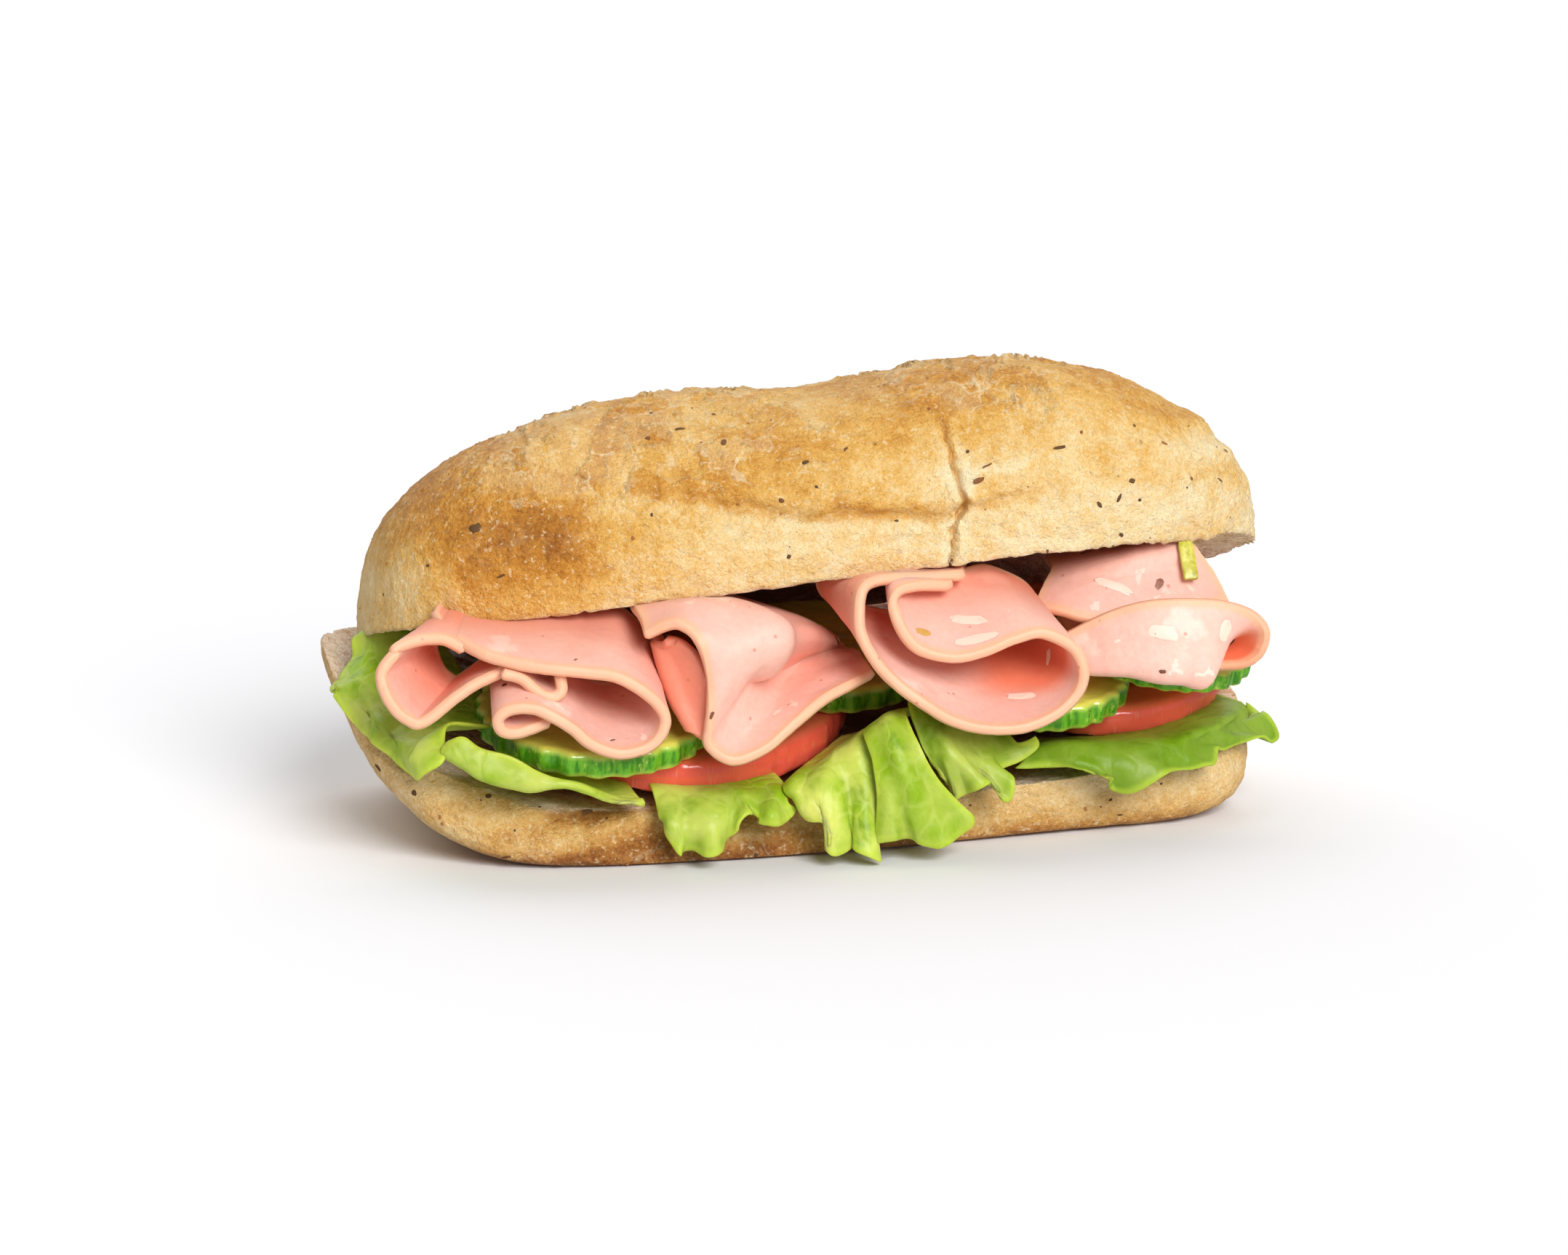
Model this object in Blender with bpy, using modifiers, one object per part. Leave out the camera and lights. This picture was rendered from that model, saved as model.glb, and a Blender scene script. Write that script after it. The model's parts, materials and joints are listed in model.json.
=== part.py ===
# Ciabatta sandwich with folded mortadella, cucumber, tomato and lettuce.
# Every length below is in millimetres, and MM turns millimetres into Blender's metres.
# +X runs along the roll, +Y to its closed back and +Z up. The origin is the middle of the flat underside.

import math

import bmesh
import bpy
import numpy as np
from mathutils import Vector

MM = 0.001

# Bottom half of the roll: a boat with a flat underside, cut on a slope that rises to the back
BOTTOM_LEFT, BOTTOM_RIGHT = 102.0, 96.0
BOTTOM_FRONT, BOTTOM_BACK = 45.0, 46.0
RIM_SQUARENESS, BASE_SQUARENESS = 3.5, 7.0
CUT_HEIGHT = 22.3                # height of the cut above the table, on the roll's middle line
CUT_SLOPE = 0.255                # rise of the cut for each mm towards the back
LEFT_LIFT, RIGHT_LIFT = 13.5, 2.2
BOTTOM_HOLLOW = 3.0              # how far the filling has pressed the crumb down
UNDERCUT_LEFT, UNDERCUT_RIGHT = 29.5, 12.5
SPREAD_LEFT, SPREAD_RIGHT = 6.0, -3.8   # how far the foot of the front wall stands out from its rim
BASE_FILLET = 2.5

# Top half: a domed lid, open at the front and higher at its right end
TOP_LEFT, TOP_RIGHT = 94.5, 99.5
TOP_FRONT, TOP_BACK = 45.0, 44.5
TOP_SQUARENESS = 2.9
TOP_HEIGHT = 46.0                # height of the lid's cut above the table, on its middle line
TOP_RISE = 0.055                 # rise of the cut for each mm to the right
TOP_SLOPE_LEFT, TOP_SLOPE_RIGHT = 0.20, 0.29
TOP_HOLLOW = 7.0
RIGHT_CORNER_LIFT = 4.0          # how much the lid's front corner turns up at the right end
CROWN_BULGE = 2.4                # exponent of the dome's rounded section
LEFT_END_BULGE, RIGHT_END_BULGE = 3.1, 2.32
CROWN_WAVES = 0.8                # height of the low waves in the crust
CREASE_DEPTH, CREASE_HEIGHT = 1.6, 72.0   # the long shoulder crease that runs along the front
CREASE_MIDDLE, CREASE_REACH = -5.0, 42.0
CRACK_DEPTH, CRACK_X, CRACK_WIDTH = 1.5, 23.5, 5.0   # the crack that runs up the front
CRACK_BOTTOM, CRACK_TOP = 57.0, 95.0
CROWN_STATIONS = (-90, -60, -36, -4, 18, 38, 58, 76, 92)
CROWN_HEIGHTS = (44, 46, 45.5, 43.5, 47, 49, 50.5, 49, 45)
HINGE_START = 26.0               # from here to the back the halves close on each other
LID_GAP = 0.6                    # air between the two halves along the closed back

# Flat slices lie parallel to the cut: centre (x, y), radius, height of the underside above the cut, thickness
TOMATOES = {
    "tomato_left": ((-31.0, -9.5), 38.0, 2.4, 7.6),
    "tomato_right": ((61.5, -2.0), 33.5, 4.2, 6.8),
}
CUCUMBERS = {
    "cucumber_left": ((-50.5, -31.0), 24.5, 10.4, 5.6),
    "cucumber_middle": ((3.5, -8.5), 23.5, 10.4, 5.6),
    "cucumber_right": ((44.5, -26.0), 21.0, 11.4, 5.6),
    "cucumber_far_right": ((73.5, -21.0), 21.5, 16.3, 4.6),
}
LEANS = {"cucumber_far_right": 0.13}   # lies on the rim of its neighbour, so its right side is lower, in radians
SLICE_EDGE = 0.9                 # rounding at the rims of tomato and cucumber

# Mortadella: discs about 100 mm across, folded so that the rim faces the front
MEAT_THICKNESS = 2.8
MEAT_COLUMNS, MEAT_ROWS = 36, 4
MEAT_FOLD_COLUMNS = 18
LID_CLEARANCE = 1.0              # between the highest folds and the lid

LEAF_THICKNESS = 0.8
LEAF_COLUMNS, LEAF_ROWS = 20, 6


# ---------------------------------------------------------------- curves and surfaces

def smooth(edge0, edge1, value):
    t = np.clip((value - edge0) / (edge1 - edge0), 0.0, 1.0)
    return t * t * (3 - 2 * t)


def power(value, exponent):
    return np.sign(value) * np.abs(value) ** exponent


def outline(angle, left, right, front, back, squareness):
    """Point on a rounded oblong whose four half-sizes differ."""
    cx = power(math.cos(angle), 2 / squareness)
    cy = power(math.sin(angle), 2 / squareness)
    return cx * (left if cx < 0 else right), cy * (front if cy < 0 else back)


def oblong_radius(x, y, left, right, front, back, squareness):
    """0 at the middle of the oblong and 1 on its outline."""
    fx = abs(x) / (left if x < 0 else right)
    fy = abs(y) / (front if y < 0 else back)
    return (fx ** squareness + fy ** squareness) ** (1 / squareness)


def catmull(points, count):
    """`count` points evenly spread in parameter along a smooth curve through `points`."""
    points = np.array(points, float)
    padded = np.vstack([2 * points[0] - points[1], points, 2 * points[-1] - points[-2]])
    lengths = np.sqrt(np.linalg.norm(np.diff(points, axis=0), axis=1))
    knots = np.concatenate([[0], np.cumsum(lengths)])
    found = []
    for place in np.linspace(0, knots[-1], count):
        i = min(int(np.searchsorted(knots, place, side="right")) - 1, len(points) - 2)
        t = (place - knots[i]) / (knots[i + 1] - knots[i])
        a, b, c, d = padded[i:i + 4]
        found.append(0.5 * (2 * b + (c - a) * t + (2 * a - 5 * b + 4 * c - d) * t ** 2
                            + (3 * b - a - 3 * c + d) * t ** 3))
    return np.array(found)


def evenly(points, count):
    """The same curve read at `count` points with equal steps of length."""
    fine = catmull(points, 400)
    along = np.concatenate([[0], np.cumsum(np.linalg.norm(np.diff(fine[:, :3], axis=0), axis=1))])
    wanted = np.linspace(0, along[-1], count)
    return np.stack([np.interp(wanted, along, column) for column in fine.T], axis=1)


# ---------------------------------------------------------------- bread

def bottom_cut(x, y):
    """Height of the bottom half's cut face at its rim."""
    left = LEFT_LIFT * np.clip((-x - 50) / 50, 0, 1.2) ** 2 * (1 - 0.4 * smooth(-5, 35, y))
    return CUT_HEIGHT + CUT_SLOPE * y + left + RIGHT_LIFT * smooth(20, 75, x)


def top_cut(x, y):
    """Height of the lid's cut face at its rim, which nowhere dips into the bottom half."""
    slope = TOP_SLOPE_LEFT + (TOP_SLOPE_RIGHT - TOP_SLOPE_LEFT) * smooth(-90, 90, x)
    lift = RIGHT_CORNER_LIFT * smooth(78, 100, x) * smooth(-10, -40, y)
    shut = bottom_cut(x, y) + LID_GAP
    free = np.maximum(TOP_HEIGHT + TOP_RISE * x - slope * y + lift, shut)
    return free + (shut - free) * smooth(HINGE_START, TOP_BACK, y)


def lid_underside(x, y):
    """Height of the lid's hollowed cut face."""
    radius = min(oblong_radius(x, y, TOP_LEFT, TOP_RIGHT, TOP_FRONT, TOP_BACK, TOP_SQUARENESS), 1.0)
    return top_cut(x, y) + TOP_HOLLOW * (1 - radius ** 4)


def bottom_sizes(height):
    """The four half-sizes of the bottom half's outline at `height`, from 0 at the table to 1 at the rim."""
    below = 1 - height
    return (
        BOTTOM_LEFT - UNDERCUT_LEFT * below ** 1.75,
        BOTTOM_RIGHT - UNDERCUT_RIGHT * below ** 3.5,
        BOTTOM_FRONT,
        BOTTOM_BACK + 5.0 * math.sin(math.pi * height) ** 0.7 * below,
    )


def bottom_squareness(height):
    return BASE_SQUARENESS + (RIM_SQUARENESS - BASE_SQUARENESS) * height


def front_spread(x, height):
    """How far the front wall stands out at `height`: forward on the left, undercut on the right."""
    return (SPREAD_LEFT + (SPREAD_RIGHT - SPREAD_LEFT) * smooth(-10, 58, x)) * (1 - height) ** 0.8


def bottom_outline(angle, height, inward=0.0):
    x, y = outline(angle, *[size - inward for size in bottom_sizes(height)], bottom_squareness(height))
    if y < 0:
        y -= float(front_spread(x, height)) * smooth(0, BOTTOM_FRONT, -y)
    return x, y


def bottom_point(angle, ring):
    """`ring` runs 0..1 over the underside, 1..2 up the wall and 2..3 over the cut face."""
    if ring <= 1:
        x, y = bottom_outline(angle, 0.0, BASE_FILLET)
        return x * ring, y * ring, 0.0
    if ring <= 2:
        climb = (ring - 1) ** 1.5
        x, y = bottom_outline(angle, climb)
        z = float(bottom_cut(x, y)) * climb
        inward = BASE_FILLET * (1 - math.sqrt(1 - (1 - min(z / BASE_FILLET, 1)) ** 2))
        x, y = bottom_outline(angle, climb, inward)
        return x, y, z
    reach = 3 - ring
    x, y = bottom_outline(angle, 1.0)
    x, y = x * reach, y * reach
    return x, y, float(bottom_cut(x, y)) - BOTTOM_HOLLOW * (1 - reach ** 4)


def crown_height(x, y):
    """How far the dome stands above the lid's cut, with the low waves of the crust."""
    near = [x + shift for shift in (-14, -7, 0, 7, 14)]
    height = float(np.interp(near, CROWN_STATIONS, CROWN_HEIGHTS).mean())
    return height + CROWN_WAVES * math.sin(x / 13.0 + 1.0) * math.sin(y / 11.0 + x / 40.0)


def front_dents(x, z):
    """How far the crease and the crack press the front of the dome in."""
    crease = (CREASE_DEPTH * math.exp(-((x - CREASE_MIDDLE) / CREASE_REACH) ** 4)
              * math.exp(-((z - CREASE_HEIGHT) / 4.0) ** 2))
    crack = (CRACK_DEPTH * math.exp(-((x - CRACK_X) / CRACK_WIDTH) ** 2)
             * float(smooth(CRACK_BOTTOM, CRACK_BOTTOM + 9, z) * smooth(CRACK_TOP, CRACK_TOP - 12, z)))
    return crease + crack


def top_point(angle, ring):
    """`ring` runs 0..1 over the lid's cut face and 1..2 from its rim up over the dome."""
    x, y = outline(angle, TOP_LEFT, TOP_RIGHT, TOP_FRONT, TOP_BACK, TOP_SQUARENESS)
    if ring <= 1:
        x, y = x * ring, y * ring
        return x, y, float(top_cut(x, y)) + TOP_HOLLOW * (1 - ring ** 4)
    turn = (ring - 1) * math.pi / 2
    bulge = (CROWN_BULGE + (LEFT_END_BULGE - CROWN_BULGE) * smooth(-50, -85, x)
             + (RIGHT_END_BULGE - CROWN_BULGE) * smooth(70, 95, x))
    reach = max(math.cos(turn), 0.0) ** (2 / bulge)
    climb = max(math.sin(turn), 0.0) ** (2 / bulge)
    belly = 1.5 * math.sin(math.pi * min(climb * 1.6, 1.0)) * reach
    rim_z = float(top_cut(x, y))
    x, y = x * reach, y * reach + math.copysign(belly, y) * abs(math.sin(angle))
    middle_z = float(top_cut(x, y))
    base_z = rim_z + (middle_z - rim_z) * smooth(0.0, 1.0, climb)
    z = base_z + climb * crown_height(x, y)
    return x, y + front_dents(x, z) * float(smooth(-14, -26, y)), z


# ---------------------------------------------------------------- objects

def material(name, colour, roughness):
    made = bpy.data.materials.new(name)
    made.use_nodes = True
    shader = made.node_tree.nodes["Principled BSDF"]
    shader.inputs["Base Color"].default_value = (*colour, 1.0)
    shader.inputs["Roughness"].default_value = roughness
    shader.inputs["Metallic"].default_value = 0.0
    made.diffuse_color = (*colour, 1.0)
    return made


def finish(name, mesh_data, finish_material, collection):
    """Makes the bmesh, whose points are in millimetres, an object in metres."""
    bmesh.ops.scale(mesh_data, vec=(MM, MM, MM), verts=mesh_data.verts)
    mesh = bpy.data.meshes.new(name)
    mesh_data.to_mesh(mesh)
    mesh_data.free()
    mesh.materials.append(finish_material)
    mesh.shade_smooth()
    mesh.set_sharp_from_angle(angle=math.radians(45))
    made = bpy.data.objects.new(name, mesh)
    collection.objects.link(made)
    return made


def wrapped_ball(columns, rings, place):
    """A UV sphere whose points are moved to place(angle, fraction), the fraction running from pole to pole."""
    ball = bmesh.new()
    bmesh.ops.create_uvsphere(ball, u_segments=columns, v_segments=len(rings) - 1, radius=1.0)
    for vertex in ball.verts:
        angle = math.atan2(vertex.co.y, vertex.co.x)
        fraction = math.acos(max(-1.0, min(1.0, -vertex.co.z))) / math.pi
        ring = rings[round(fraction * (len(rings) - 1))]
        vertex.co = Vector(place(angle, ring))
    bmesh.ops.triangulate(ball, faces=ball.faces, quad_method="BEAUTY")
    bmesh.ops.recalc_face_normals(ball, faces=ball.faces)
    return ball


def bread_bottom(collection, crust):
    rings = [0, 0.55, 0.9, *np.linspace(1.0, 2.0, 9), 2.06, 2.2, 2.45, 2.75, 3.0]
    return finish("bread_bottom", wrapped_ball(48, rings, bottom_point), crust, collection)


def bread_top(collection, crust):
    rings = [0, 0.3, 0.6, 0.85, 0.96, *np.linspace(1.0, 2.0, 15)]
    return finish("bread_top", wrapped_ball(64, rings, top_point), crust, collection)


def flat_slice(name, spec, sides, ripple, finish_material, collection):
    """A disc lying parallel to the cut face, its rim rounded and, on cucumber, rippled."""
    (x, y), radius, underside, thickness = spec
    disc = bmesh.new()
    bmesh.ops.create_cone(disc, cap_ends=True, segments=sides, radius1=radius, radius2=radius, depth=thickness)
    rims = [edge for edge in disc.edges if abs(edge.verts[0].co.z - edge.verts[1].co.z) < 0.01]
    bmesh.ops.bevel(disc, geom=rims, offset=SLICE_EDGE, segments=1, affect="EDGES", profile=0.5)
    for vertex in disc.verts:
        angle = math.atan2(vertex.co.y, vertex.co.x)
        vertex.co.xy *= 1 + ripple * math.sin(sides / 2 * angle) + 0.012 * math.sin(2 * angle + x)
    tilt = math.atan(CUT_SLOPE)
    bmesh.ops.triangulate(disc, faces=disc.faces, quad_method="BEAUTY", ngon_method="BEAUTY")
    made = finish(name, disc, finish_material, collection)
    lift = (underside + thickness / 2) / math.cos(tilt)
    made.location = Vector((x, y, CUT_HEIGHT + CUT_SLOPE * y + lift)) * MM
    made.rotation_euler = (tilt, LEANS.get(name, 0.0), 0.0)
    return made


def sheet(name, rows, thickness, finish_material, collection):
    """A thin solid over a grid of points: rows[i][j] is a place in millimetres."""
    grid = bmesh.new()
    lines = [[grid.verts.new(Vector(point)) for point in row] for row in rows]
    for first, second in zip(lines, lines[1:]):
        for j in range(len(first) - 1):
            grid.faces.new((first[j], first[j + 1], second[j + 1], second[j]))
    bmesh.ops.triangulate(grid, faces=grid.faces, quad_method="FIXED")
    made = finish(name, grid, finish_material, collection)
    solid = made.modifiers.new("Thickness", "SOLIDIFY")
    solid.thickness = thickness * MM
    solid.offset = 0.0
    solid.use_quality_normals = True
    return made


# ---------------------------------------------------------------- mortadella

# Slices pushed straight in. Each has the points of its front rim from one end to the other as (x, y, z, share):
# inside the roll a share of 0 lies on the cucumber and 1 touches the lid. Then come the x that the folds close
# towards, the height of what the slice lies on above the cut, and how deep it reaches at its middle
PUSHED_SLICES = {
    "mortadella_left": (
        [(-84, -33, 47.6, 0.8), (-81, -41, 47, 0.9), (-74, -49, 45, 0.96), (-63, -54, 44, 0.97), (-52, -57, 43, 0.9),
         (-45, -58, 40, 0.75), (-41, -58, 33, 0.45), (-46, -58, 26.8, 0.08), (-55, -58, 28.2, 0.0),
         (-63, -57, 33, 0.1), (-69, -56, 37, 0.28), (-74.5, -56, 35.5, 0.25), (-75.5, -55.5, 31.5, 0.1),
         (-71, -55, 30, 0.02)],
        -56, 17.1, 42),
    "mortadella_roll": (
        [(-68, -45, 41, 0.58), (-77, -47, 40, 0.5), (-84, -49.5, 35, 0.2), (-90, -50, 33, 0.05),
         (-95, -48, 36, 0.1), (-96, -47, 41, 0.4), (-92, -45, 45.5, 0.62), (-86, -43, 46.0, 0.68), (-80, -42, 43, 0.64)],
        -66, 16.0, 22),
    "mortadella_curl": (
        [(20, -46, 56, 0.97), (8, -50, 56.7, 0.97), (0, -53, 55, 0.92), (-1.5, -55, 50, 0.75), (4, -57, 40.5, 0.4),
         (14, -58, 31.5, 0.08), (26, -58, 27.2, 0.0), (38, -57, 28.5, 0.0), (46, -56, 33, 0.12), (47.5, -56, 39, 0.35),
         (43, -56, 44.5, 0.55), (33, -56, 46, 0.66), (22, -57, 43, 0.55), (13, -56, 44.5, 0.55),
         (8.5, -54, 49.5, 0.7), (13, -49, 52.5, 0.78)],
        22, 18.3, 46),
}

# Slices folded over a crease: curves across the slice, from one rim over the fold to the other
FOLDED_SLICES = {
    "mortadella_centre": [
        [(-30.5, -58, 24.5), (-27, -58.3, 23.3), (-20, -57, 24.5), (-10, -55, 31), (3, -48, 36.5)],
        [(-29.5, -55.5, 25.5), (-24, -51, 27.5), (-15, -46, 30.5), (-5, -41, 34.5), (4, -37, 37)],
        [(-28.5, -53, 27.5), (-22, -44, 31), (-13, -37, 33.5), (-4, -31, 36.5), (4, -27, 38.5)],
        [(-27.5, -52, 30.5), (-20, -42, 33.5), (-10, -34.5, 36), (-1, -28.5, 39), (5, -25, 40.5)],
        [(-29, -54, 33.5), (-24, -45, 37.5), (-16, -38, 40.5), (-7, -32, 42.5), (1, -27, 43)],
        [(-31, -56.5, 36), (-28, -50, 42), (-23, -44, 47), (-15, -38, 48.5), (-6, -32, 47)],
        [(-31.8, -57.5, 36), (-34, -55, 44.5), (-38, -51.5, 49.3), (-41.5, -47.5, 48), (-37, -41, 51)],
    ],
    "mortadella_centre_wall": [
        [(-33.5, -56, 26.5), (-36.5, -53.5, 31), (-38.8, -51, 37), (-41, -48, 43)],
        [(-31, -50, 29), (-34, -47, 34), (-36.5, -44, 40), (-39, -41, 45.5)],
        [(-26.5, -42, 31.5), (-30, -38, 36.5), (-33, -34, 42), (-36, -30, 46.5)],
    ],
    "mortadella_right_upper": [
        [(42.5, -37, 47.6), (47, -40.5, 47), (53, -42.5, 45.5), (63, -42, 46), (74, -41, 46.5), (84, -38, 47.5)],
        [(45.5, -33, 50.7), (51, -36, 51.7), (58, -38, 52.5), (67, -37.5, 53.5), (75, -37, 54), (81, -36, 54)],
        [(49, -28, 54), (55, -31, 55.5), (62, -33, 57), (68, -33, 58.5), (73, -33, 59.2), (77, -33, 59)],
        [(51, -16, 54), (57, -16, 55), (62, -16, 55.5), (67, -16, 56), (71, -16, 56.5), (74, -16, 56.5)],
    ],
    "mortadella_right": [
        [(46.5, -44, 42.7), (56, -46, 47.5), (64, -48, 49.8), (73, -49.5, 50.1), (80, -50, 49.3),
         (86, -50, 47), (89.5, -49, 42.9), (89, -47.5, 38), (86, -46, 35.3), (81, -44, 34.6)],
        [(48, -46, 39.5), (56.5, -48.5, 42), (64, -51, 42.5), (71.5, -52.5, 42), (77.5, -52.5, 41.5),
         (81.5, -49, 42.5), (84.5, -44, 42), (84.5, -41.5, 39.5), (82, -40.5, 37.5), (77, -39.5, 36.8)],
        [(50.5, -47, 36), (58.5, -50, 35.8), (64.5, -52, 34.6), (69.5, -53.2, 34.2), (74, -54, 33.6),
         (77, -48, 38), (80, -40, 41), (80, -37, 40.8), (77.5, -36, 40), (73.5, -35.5, 38.6)],
        [(51, -34, 39.2), (58, -35, 38.9), (64, -36, 38.7), (68.5, -36.5, 38.6), (71.5, -36, 39),
         (74, -34.5, 40.5), (76, -33, 42), (76, -31.5, 42), (74.5, -31, 41.4), (72, -31, 40.6)],
        [(52, -22, 42.3), (57, -22, 42.3), (62, -22, 42.3), (66, -22, 42.3), (69, -22, 42.6),
         (71, -21.5, 43.6), (72.5, -21, 44.6), (72.8, -20.5, 44.6), (72, -20.3, 44), (70, -20.2, 43.4)],
    ],
}


def pushed_slice(name, spec, finish_material, collection):
    rim, aim_x, floor, reach = spec
    front = evenly(rim, MEAT_COLUMNS)
    rows = []
    for row in range(MEAT_ROWS + 1):
        line = []
        for i, (x, y, z, share) in enumerate(front):
            across = 2 * i / (MEAT_COLUMNS - 1) - 1
            inwards = row / MEAT_ROWS * reach * (0.3 + 0.7 * (1 - abs(across) ** 2.5))
            new_x = x + (aim_x - x) * 0.3 * inwards / reach
            new_y = y + inwards
            low = float(bottom_cut(0, new_y)) + floor + MEAT_THICKNESS / 2
            high = float(lid_underside(new_x, new_y)) - MEAT_THICKNESS / 2 - LID_CLEARANCE
            entered = smooth(0, max(9.0, -43 - y), inwards)
            line.append((new_x, new_y, z + (low + (high - low) * share - z) * entered))
        rows.append(line)
    return sheet(name, rows, MEAT_THICKNESS, finish_material, collection)


def folded_slice(name, curves, finish_material, collection):
    columns = np.array([evenly(curve, MEAT_FOLD_COLUMNS) for curve in curves]).transpose(1, 0, 2)
    rows = np.array([catmull(column, 2 * len(curves) - 1) for column in columns]).transpose(1, 0, 2)
    return sheet(name, rows, MEAT_THICKNESS, finish_material, collection)


# ---------------------------------------------------------------- lettuce

# Root of each leaf under the tomato, from (x, y) to (x, y), its hanging edge from one end to the other,
# how far it stands over the bread's rim at each end, and its frills: their height and number
LEAVES = {
    "lettuce_left_end": (
        ((-78, 2), (-74, -30)),
        [(-98, 3, 38.5), (-102, -4, 35.5), (-103.2, -9, 33), (-103.8, -14, 32), (-102.5, -19, 29.5),
         (-99.8, -26, 26), (-96.5, -34, 23.5), (-94, -38, 22), (-91, -44, 18.5), (-87.5, -47, 20.5), (-84.5, -48, 24)],
        (4.0, 4.5), (1.0, 4)),
    "lettuce_left_front": (
        ((-70, -36), (-50, -36)),
        [(-83.5, -48, 26.5), (-79, -50.5, 23.4), (-71.8, -51.5, 19.3), (-67.8, -52, 18), (-60, -52, 17),
         (-54, -52, 16.6), (-49.3, -51.5, 15.6), (-45, -50.5, 14.2)],
        (6.0, 0.0), (0.4, 3)),
    "lettuce_centre_left": (
        ((-40, -38), (-18, -38)),
        [(-43.5, -51, 14.5), (-40, -54.5, 9), (-38.2, -56, 4.5), (-33.8, -56, 5.4), (-30.6, -56, 2.8),
         (-26.5, -56, 7.2), (-21.5, -56, 11.2), (-17.5, -56, 10.2), (-17, -53, 13)],
        (-0.4, -0.4), (0.7, 2.5)),
    "lettuce_centre": (
        ((9, -28), (13, -28)),
        [(-14, -54, 11), (-13, -58, 8), (-11.5, -60, 3), (-9, -60, 5), (-6, -60, 7), (-4, -60, 2), (1, -60, 1.5)],
        (1.0, 11.0), (0.8, 3)),
    "lettuce_centre_right": (
        ((14.5, -28), (19, -28)),
        [(2.5, -59, 5), (8, -59, 5), (15, -60, 4), (22, -59, 7), (25, -58, 8.5)],
        (11.5, 14.5), (1.0, 2.5)),
    "lettuce_centre_back": (
        ((22, -30), (24, -30)),
        [(24.5, -50, 13), (27, -52, 13), (30, -54, 15), (33, -56, 12), (36, -54, 15)],
        (13.0, 6.0), (0.6, 3)),
    "lettuce_right": (
        ((44, -34), (86, -12)),
        [(40, -49, 14), (50, -51, 13), (58, -52, 11), (62, -52, 9), (68, -51, 9.5), (76, -49, 12), (86, -42, 14),
         (93, -35, 15.5), (101, -28, 15.6), (99, -25, 18)],
        (-0.3, -0.3), (0.8, 3)),
}


def clear_of_bottom(point, margin):
    """Moves a point out of the bottom half, up over its cut face or out from its wall."""
    x, y, z = point
    rim = float(bottom_cut(x, y))
    height = min(max(z / rim, 0.0), 1.0)
    radius = oblong_radius(x, y, *[size + margin for size in bottom_sizes(height)], bottom_squareness(height))
    if radius >= 1 or z >= rim + margin:
        foot = -(BOTTOM_FRONT + margin + float(front_spread(x, height)))
        inside = y < 0 and z < rim + margin and abs(x) < 92 and y > foot
        return np.array((x, foot, z)) if inside else point
    if z > rim - 2.5 or radius < 0.93:
        return np.array((x, y, rim + margin))
    return np.array((x / radius, y / radius, z))


def brow_between(root, edge):
    """The place over the bread's rim where a leaf running from root to edge tips over it."""
    for t in np.linspace(0, 1, 41):
        x, y = root[:2] + (edge[:2] - root[:2]) * t
        if oblong_radius(x, y, *bottom_sizes(1.0), RIM_SQUARENESS) > 0.98:
            break
    return np.array((x, y, float(bottom_cut(x, y))))


def leaf(name, spec, finish_material, collection):
    (start, end), edge_points, (lift_start, lift_end), (ruffle, frills) = spec
    edge = evenly(edge_points, LEAF_COLUMNS)
    columns = []
    for i, tip in enumerate(edge):
        s = i / (LEAF_COLUMNS - 1)
        x, y = np.array(start) + (np.array(end) - np.array(start)) * s
        root = np.array((x, y, float(bottom_cut(x, y)) + LEAF_THICKNESS))
        brow = brow_between(root, tip)
        brow[2] += 1.2 + lift_start + (lift_end - lift_start) * s
        columns.append(catmull([root, (root * 0.4 + brow * 0.6), brow, tip], LEAF_ROWS + 1))
    grid = np.array(columns).transpose(1, 0, 2)
    along = np.gradient(grid, axis=1)
    across = np.gradient(grid, axis=0)
    normal = np.cross(along, across)
    normal /= np.linalg.norm(normal, axis=2, keepdims=True)
    for row in range(LEAF_ROWS + 1):
        for i in range(LEAF_COLUMNS):
            s = i / (LEAF_COLUMNS - 1)
            wave = math.sin(2 * math.pi * frills * s) * (row / LEAF_ROWS) ** 2
            grid[row, i] = clear_of_bottom(grid[row, i] + normal[row, i] * ruffle * wave, 0.9)
            grid[row, i, 2] = max(grid[row, i, 2], 1.5)
    return sheet(name, grid, LEAF_THICKNESS, finish_material, collection)


# ---------------------------------------------------------------- pickle

def pickle_strip(collection, finish_material):
    """A flat stalk of pickle that hangs from under the lid, notched at its lower end."""
    stalk = bmesh.new()
    bmesh.ops.create_cube(stalk, size=1.0)
    bmesh.ops.scale(stalk, vec=(3.4, 1.2, 9.0), verts=stalk.verts)
    bmesh.ops.bevel(stalk, geom=stalk.edges[:], offset=0.3, segments=1, affect="EDGES")
    bmesh.ops.triangulate(stalk, faces=stalk.faces)
    made = finish("pickle_strip", stalk, finish_material, collection)
    made.location = Vector((75.3, -38.6, 56.8)) * MM
    made.rotation_euler.x = math.radians(-33)
    return made


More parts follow.
